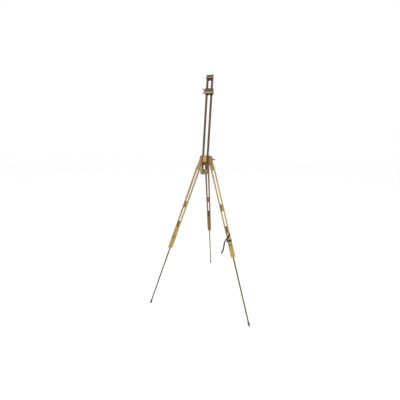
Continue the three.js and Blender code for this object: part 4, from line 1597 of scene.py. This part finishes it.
@dataclass
class Strap:
    """The closing strap on the front right leg: two turns, buckle, links and the free end."""

    axes: Axes = field(default_factory=lambda: leg_axes("front_right"))
    webbing: Webbing = Webbing()
    body: str = "front_right_leg"
    upper_drop: float = 646
    upper_slope: float = 1.05
    lower_drop: float = 680
    corner: float = 2.6
    tail_length_m: float = 0.108
    route: tuple[Point, ...] = (
        (-37.1, -12.5, -682.6),
        (-41.5, -12.9, -689.4),
        (-45.2, -14.1, -697.0),
        (-46.8, -14.8, -701.0),
        (-48.3, -15.5, -705.0),
        (-51.4, -16.9, -713.2),
        (-54.5, -18.1, -721.5),
        (-57.9, -19.0, -729.6),
        (-61.4, -19.6, -737.2),
        (-65.2, -20.0, -744.6),
        (-69.5, -20.2, -751.7),
        (-74.3, -20.2, -758.3),
        (-79.6, -20.0, -764.4),
        (-85.2, -19.8, -769.9),
        (-90.4, -19.6, -774.6),
    )

    def build(self) -> None:
        """Makes the free end first, then the turns, links and buckle."""
        self.build_tail()
        self.build_turn("strap_upper_turn", self.upper_drop, self.upper_slope)
        self.build_turn("strap_lower_turn", self.lower_drop, 0)
        self.build_links()
        self.build_buckle()

    def outward(self, line: Sequence[Vector]) -> list[Vector]:
        """The band's forward-facing outward direction at each point of an open line."""
        found = []
        for i in range(len(line)):
            tangent = (line[min(i + 1, len(line) - 1)] - line[max(i - 1, 0)]).normalized()
            front = Vector((0, -1, 0))
            found.append((front - tangent * front.dot(tangent)).normalized())
        return found

    def build_tail(self) -> None:
        """Hangs the free end with its sewn hem along its route."""
        points = [Vector(point) for point in self.route]
        line = smooth_line(points, self.webbing.step)
        ways = self.outward(line)
        halves = [self.webbing.width / 2] * len(line)
        tail = self.webbing.weave("strap_free_end", self.axes.matrix(), line, ways, halves, False)
        fit_out(tail, self.body, Finish.WEBBING, "strap_tail")
        stitches = self.sew_hem(line, ways)
        self.axes.point(*self.route[0])
        [self.axes.point(*place) for place in line]

    def sew_hem(self, line: Sequence[Vector], ways: Sequence[Vector]) -> bpy.types.Object:
        """Sews a box of stitches on the front of the free end's last stretch."""
        inset, lift = 2.2, self.webbing.thickness / 2 + 0.05
        start, stop = len(line) - 26, len(line) - 4
        half = self.webbing.width / 2 - inset
        edges = []
        for side_sign in (1, -1):
            run = range(start, stop) if side_sign > 0 else range(stop - 1, start - 1, -1)
            for i in run:
                tangent = (line[i + 1] - line[i - 1]).normalized()
                side = ways[i].cross(tangent).normalized()
                edges.append(self.axes.point(*(line[i] + side * half * side_sign + ways[i] * lift)))
        mesh = bpy.data.meshes.new("hem")
        count = len(edges)
        mesh.from_pydata(edges, [(i, (i + 1) % count) for i in range(count)], [])
        stitch = self.stitch_pattern()
        made = GEOMETRY["stitches"].run(mesh, Finish.THREAD, Shape=stitch, Spacing=0.0026)
        return fit_out(new_object("strap_stitches", made, Finish.THREAD), self.body, Finish.THREAD)

    def stitch_pattern(self) -> bpy.types.Object:
        """One stitch: a short, plump length of thread along X, in metres."""
        profile = [(0, -1.0), (0.18, -0.9), (0.26, -0.45), (0.28, 0)]
        profile += [(0.26, 0.45), (0.18, 0.9), (0, 1.0)]
        lay_down = Matrix.Scale(MILLIMETRE, 4) @ Matrix.Rotation(math.pi / 2, 4, "Y")
        mesh = Blank().revolve(profile, 8).to_mesh(lay_down)
        stitch = new_object("stitch", mesh, Finish.THREAD)
        stitch.hide_render = True
        stitch.hide_viewport = True
        return stitch

    def build_turn(self, node: str, drop: float, slope: float) -> None:
        """Winds one turn of webbing round the leg.

        Args:
            node: the CAD node it replaces.
            drop: from the leg's hinge down to the turn's middle.
            slope: how much it climbs across the leg.
        """
        high = self.axes.extent("strap_lower_turn")[1]
        thick = self.webbing.thickness / 2
        ring = rounded_ring(high.x - thick, high.y - thick, self.corner, self.webbing.step)
        line, ways, halves = [], [], []
        for place, way in ring:
            line.append(Vector((place.x, place.y, slope * place.x - drop)))
            ways.append(way)
            steep = slope * abs(way.y)
            halves.append(self.webbing.width / 2 * math.sqrt(1 + steep**2))
        piece = self.webbing.weave(
            f"{node}_webbing", self.axes.matrix(), line, ways, halves, True, Vector((0, 0, 1))
        )
        fit_out(piece, self.body, Finish.WEBBING, node)

    def build_links(self) -> None:
        """Leads the webbing from both turns to the buckle."""
        front = -self.axes.extent("strap_lower_turn")[1].y
        over = front - self.webbing.thickness / 2 - 0.1
        routes = {
            "strap_upper_link": [(-5, over, -651), (-12, over, -657.5), (-19.5, over + 0.2, -662.5),
                                 (-25.5, -13.2, -666.5), (-29.5, -12.5, -671.5)],
            "strap_lower_link": [(-8, over, -680), (-14, over, -680), (-20, over + 0.4, -680),
                                 (-25.5, -13.2, -679.2), (-29.5, -12.5, -677.5)],
        }
        for name, points in routes.items():
            line = smooth_line([Vector(point) for point in points], self.webbing.step)
            halves = [self.webbing.width / 2 - 1.2 * i / len(line) for i in range(len(line))]
            piece = self.webbing.weave(
                name, self.axes.matrix(), line, self.outward(line), halves, False
            )
            fit_out(piece, self.body, Finish.WEBBING)

    def build_buckle(self) -> None:
        """Moulds the ladder buckle: two side rails, three bars and a thumb lip."""
        middle = self.axes.point(*self.buckle_middle())
        direction = Vector(self.route[1]) - Vector(self.route[0])
        direction.y = 0
        down = direction.normalized()
        up = self.axes.direction(-down.x, 0, -down.z)
        back = self.axes.back
        own = Axes(middle, back.cross(up), back, up)
        blank = Blank()
        for x in (-6.3, 6.3):
            blank.bar((x, 0, -9.8), (x, 0, 9.8), 2.4, 4.6)
        for z, deep in ((-8.6, 3.0), (-0.6, 3.6), (8.6, 3.0)):
            blank.bar((-6.3, 0, z), (6.3, 0, z), 2.4, deep)
        blank.bar((-5.4, -2.6, 6.2), (5.4, -2.6, 6.2), 3.6, 1.6)
        blank.bar((-5.4, -2.2, 8.6), (5.4, -2.2, 8.6), 2.6, 2.6)
        blank.fused(0.34, 5)
        mesh = blank.to_mesh(own.matrix())
        piece = new_object("strap_ladder_buckle", mesh, Finish.PLASTIC)
        fit_out(piece, self.body, Finish.PLASTIC, "strap_buckle")

    def buckle_middle(self) -> Point:
        """The middle of the buckle's solid, in the leg's axes."""
        low, high = self.axes.extent("strap_buckle")
        return tuple((low + high) / 2)


# ---- Studio ---------------------------------------------------------------------------------


@dataclass(frozen=True)
class Viewpoint:
    """The camera: place in metres, angles in degrees and lens in millimetres."""

    place: Point = (0.2650, -1.5368, 1.374)
    azimuth: float = 12.76
    pitch: float = 14.792
    roll: float = 1.476
    lens: float = 14.85

    def set_up(self) -> None:
        """Makes the camera and hands it to the scene."""
        azimuth, pitch, roll = (math.radians(a) for a in (self.azimuth, self.pitch, self.roll))
        forward = Vector((
            -math.sin(azimuth) * math.cos(pitch),
            math.cos(azimuth) * math.cos(pitch),
            -math.sin(pitch),
        ))
        right = forward.cross(Vector((0, 0, 1))).normalized()
        up = right.cross(forward)
        leaned_right = right * math.cos(roll) + up * math.sin(roll)
        leaned_up = up * math.cos(roll) - right * math.sin(roll)
        data = bpy.data.cameras.new("viewpoint")
        data.lens = self.lens
        data.clip_start = 0.01
        data.clip_end = 200
        camera = bpy.data.objects.new("viewpoint", data)
        turn = Matrix((leaned_right, leaned_up, -forward)).transposed()
        camera.matrix_world = Matrix.Translation(self.place) @ turn.to_4x4()
        bpy.context.scene.collection.objects.link(camera)
        bpy.context.scene.camera = camera


@dataclass(frozen=True)
class Lamp:
    """A soft square lamp that looks at a target."""

    name: str
    place: Point
    size: float
    power: float
    target: Point = (0, 0, 0.9)

    def hang(self) -> None:
        """Puts the lamp in the scene."""
        data = bpy.data.lights.new(self.name, "AREA")
        data.size = self.size
        data.energy = self.power
        lamp = bpy.data.objects.new(self.name, data)
        lamp.location = self.place
        way = Vector(self.target) - Vector(self.place)
        lamp.rotation_euler = way.to_track_quat("-Z", "Y").to_euler()
        bpy.context.scene.collection.objects.link(lamp)


@dataclass(frozen=True)
class Studio:
    """A pale floor under an even white surround, with a key lamp on the left."""

    floor_half: float = 60
    surround: float = 1.0
    lamps: tuple[Lamp, ...] = (
        Lamp("key", (-3.2, -3.0, 4.2), 1.8, 110),
        Lamp("fill", (3.6, -1.6, 2.6), 2.4, 20),
    )

    def build(self) -> None:
        """Lays the floor and lights it."""
        half = self.floor_half
        blank = Blank()
        corners = [(-half, -half), (half, -half), (half, half), (-half, half)]
        blank.mesh.faces.new([blank.mesh.verts.new((x, y, -0.0004)) for x, y in corners])
        mesh = bpy.data.meshes.new("floor")
        blank.mesh.to_mesh(mesh)
        floor = bpy.data.objects.new("floor", mesh)
        mesh.materials.append(PaleFloor().material())
        bpy.context.scene.collection.objects.link(floor)
        world = bpy.data.worlds.new("surround")
        world.use_nodes = True
        background = world.node_tree.nodes["Background"]
        background.inputs["Color"].default_value = (1, 1, 1, 1)
        background.inputs["Strength"].default_value = self.surround
        bpy.context.scene.world = world
        bpy.context.scene.view_settings.view_transform = "Standard"
        for lamp in self.lamps:
            lamp.hang()


# ---- The easel ------------------------------------------------------------------------------


def main() -> None:
    """Sets the camera, makes every sub-assembly and lights the studio."""
    logging.basicConfig(level=logging.INFO, format="%(name)s: %(message)s")
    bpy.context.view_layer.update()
    Viewpoint().set_up()
    GEOMETRY["thread"] = thread_tree()
    GEOMETRY["screws"] = scatter_tree("wood_screws", True)
    GEOMETRY["stitches"] = stitch_tree()
    Strap().build()
    for assembly in (Head(), Mast(), CanvasRest(), CanvasHolder()):
        assembly.build()
    for leg in ("front_left", "front_right", "rear"):
        Leg(leg).build()
    Studio().build()


if __name__ == "__main__":
    main()
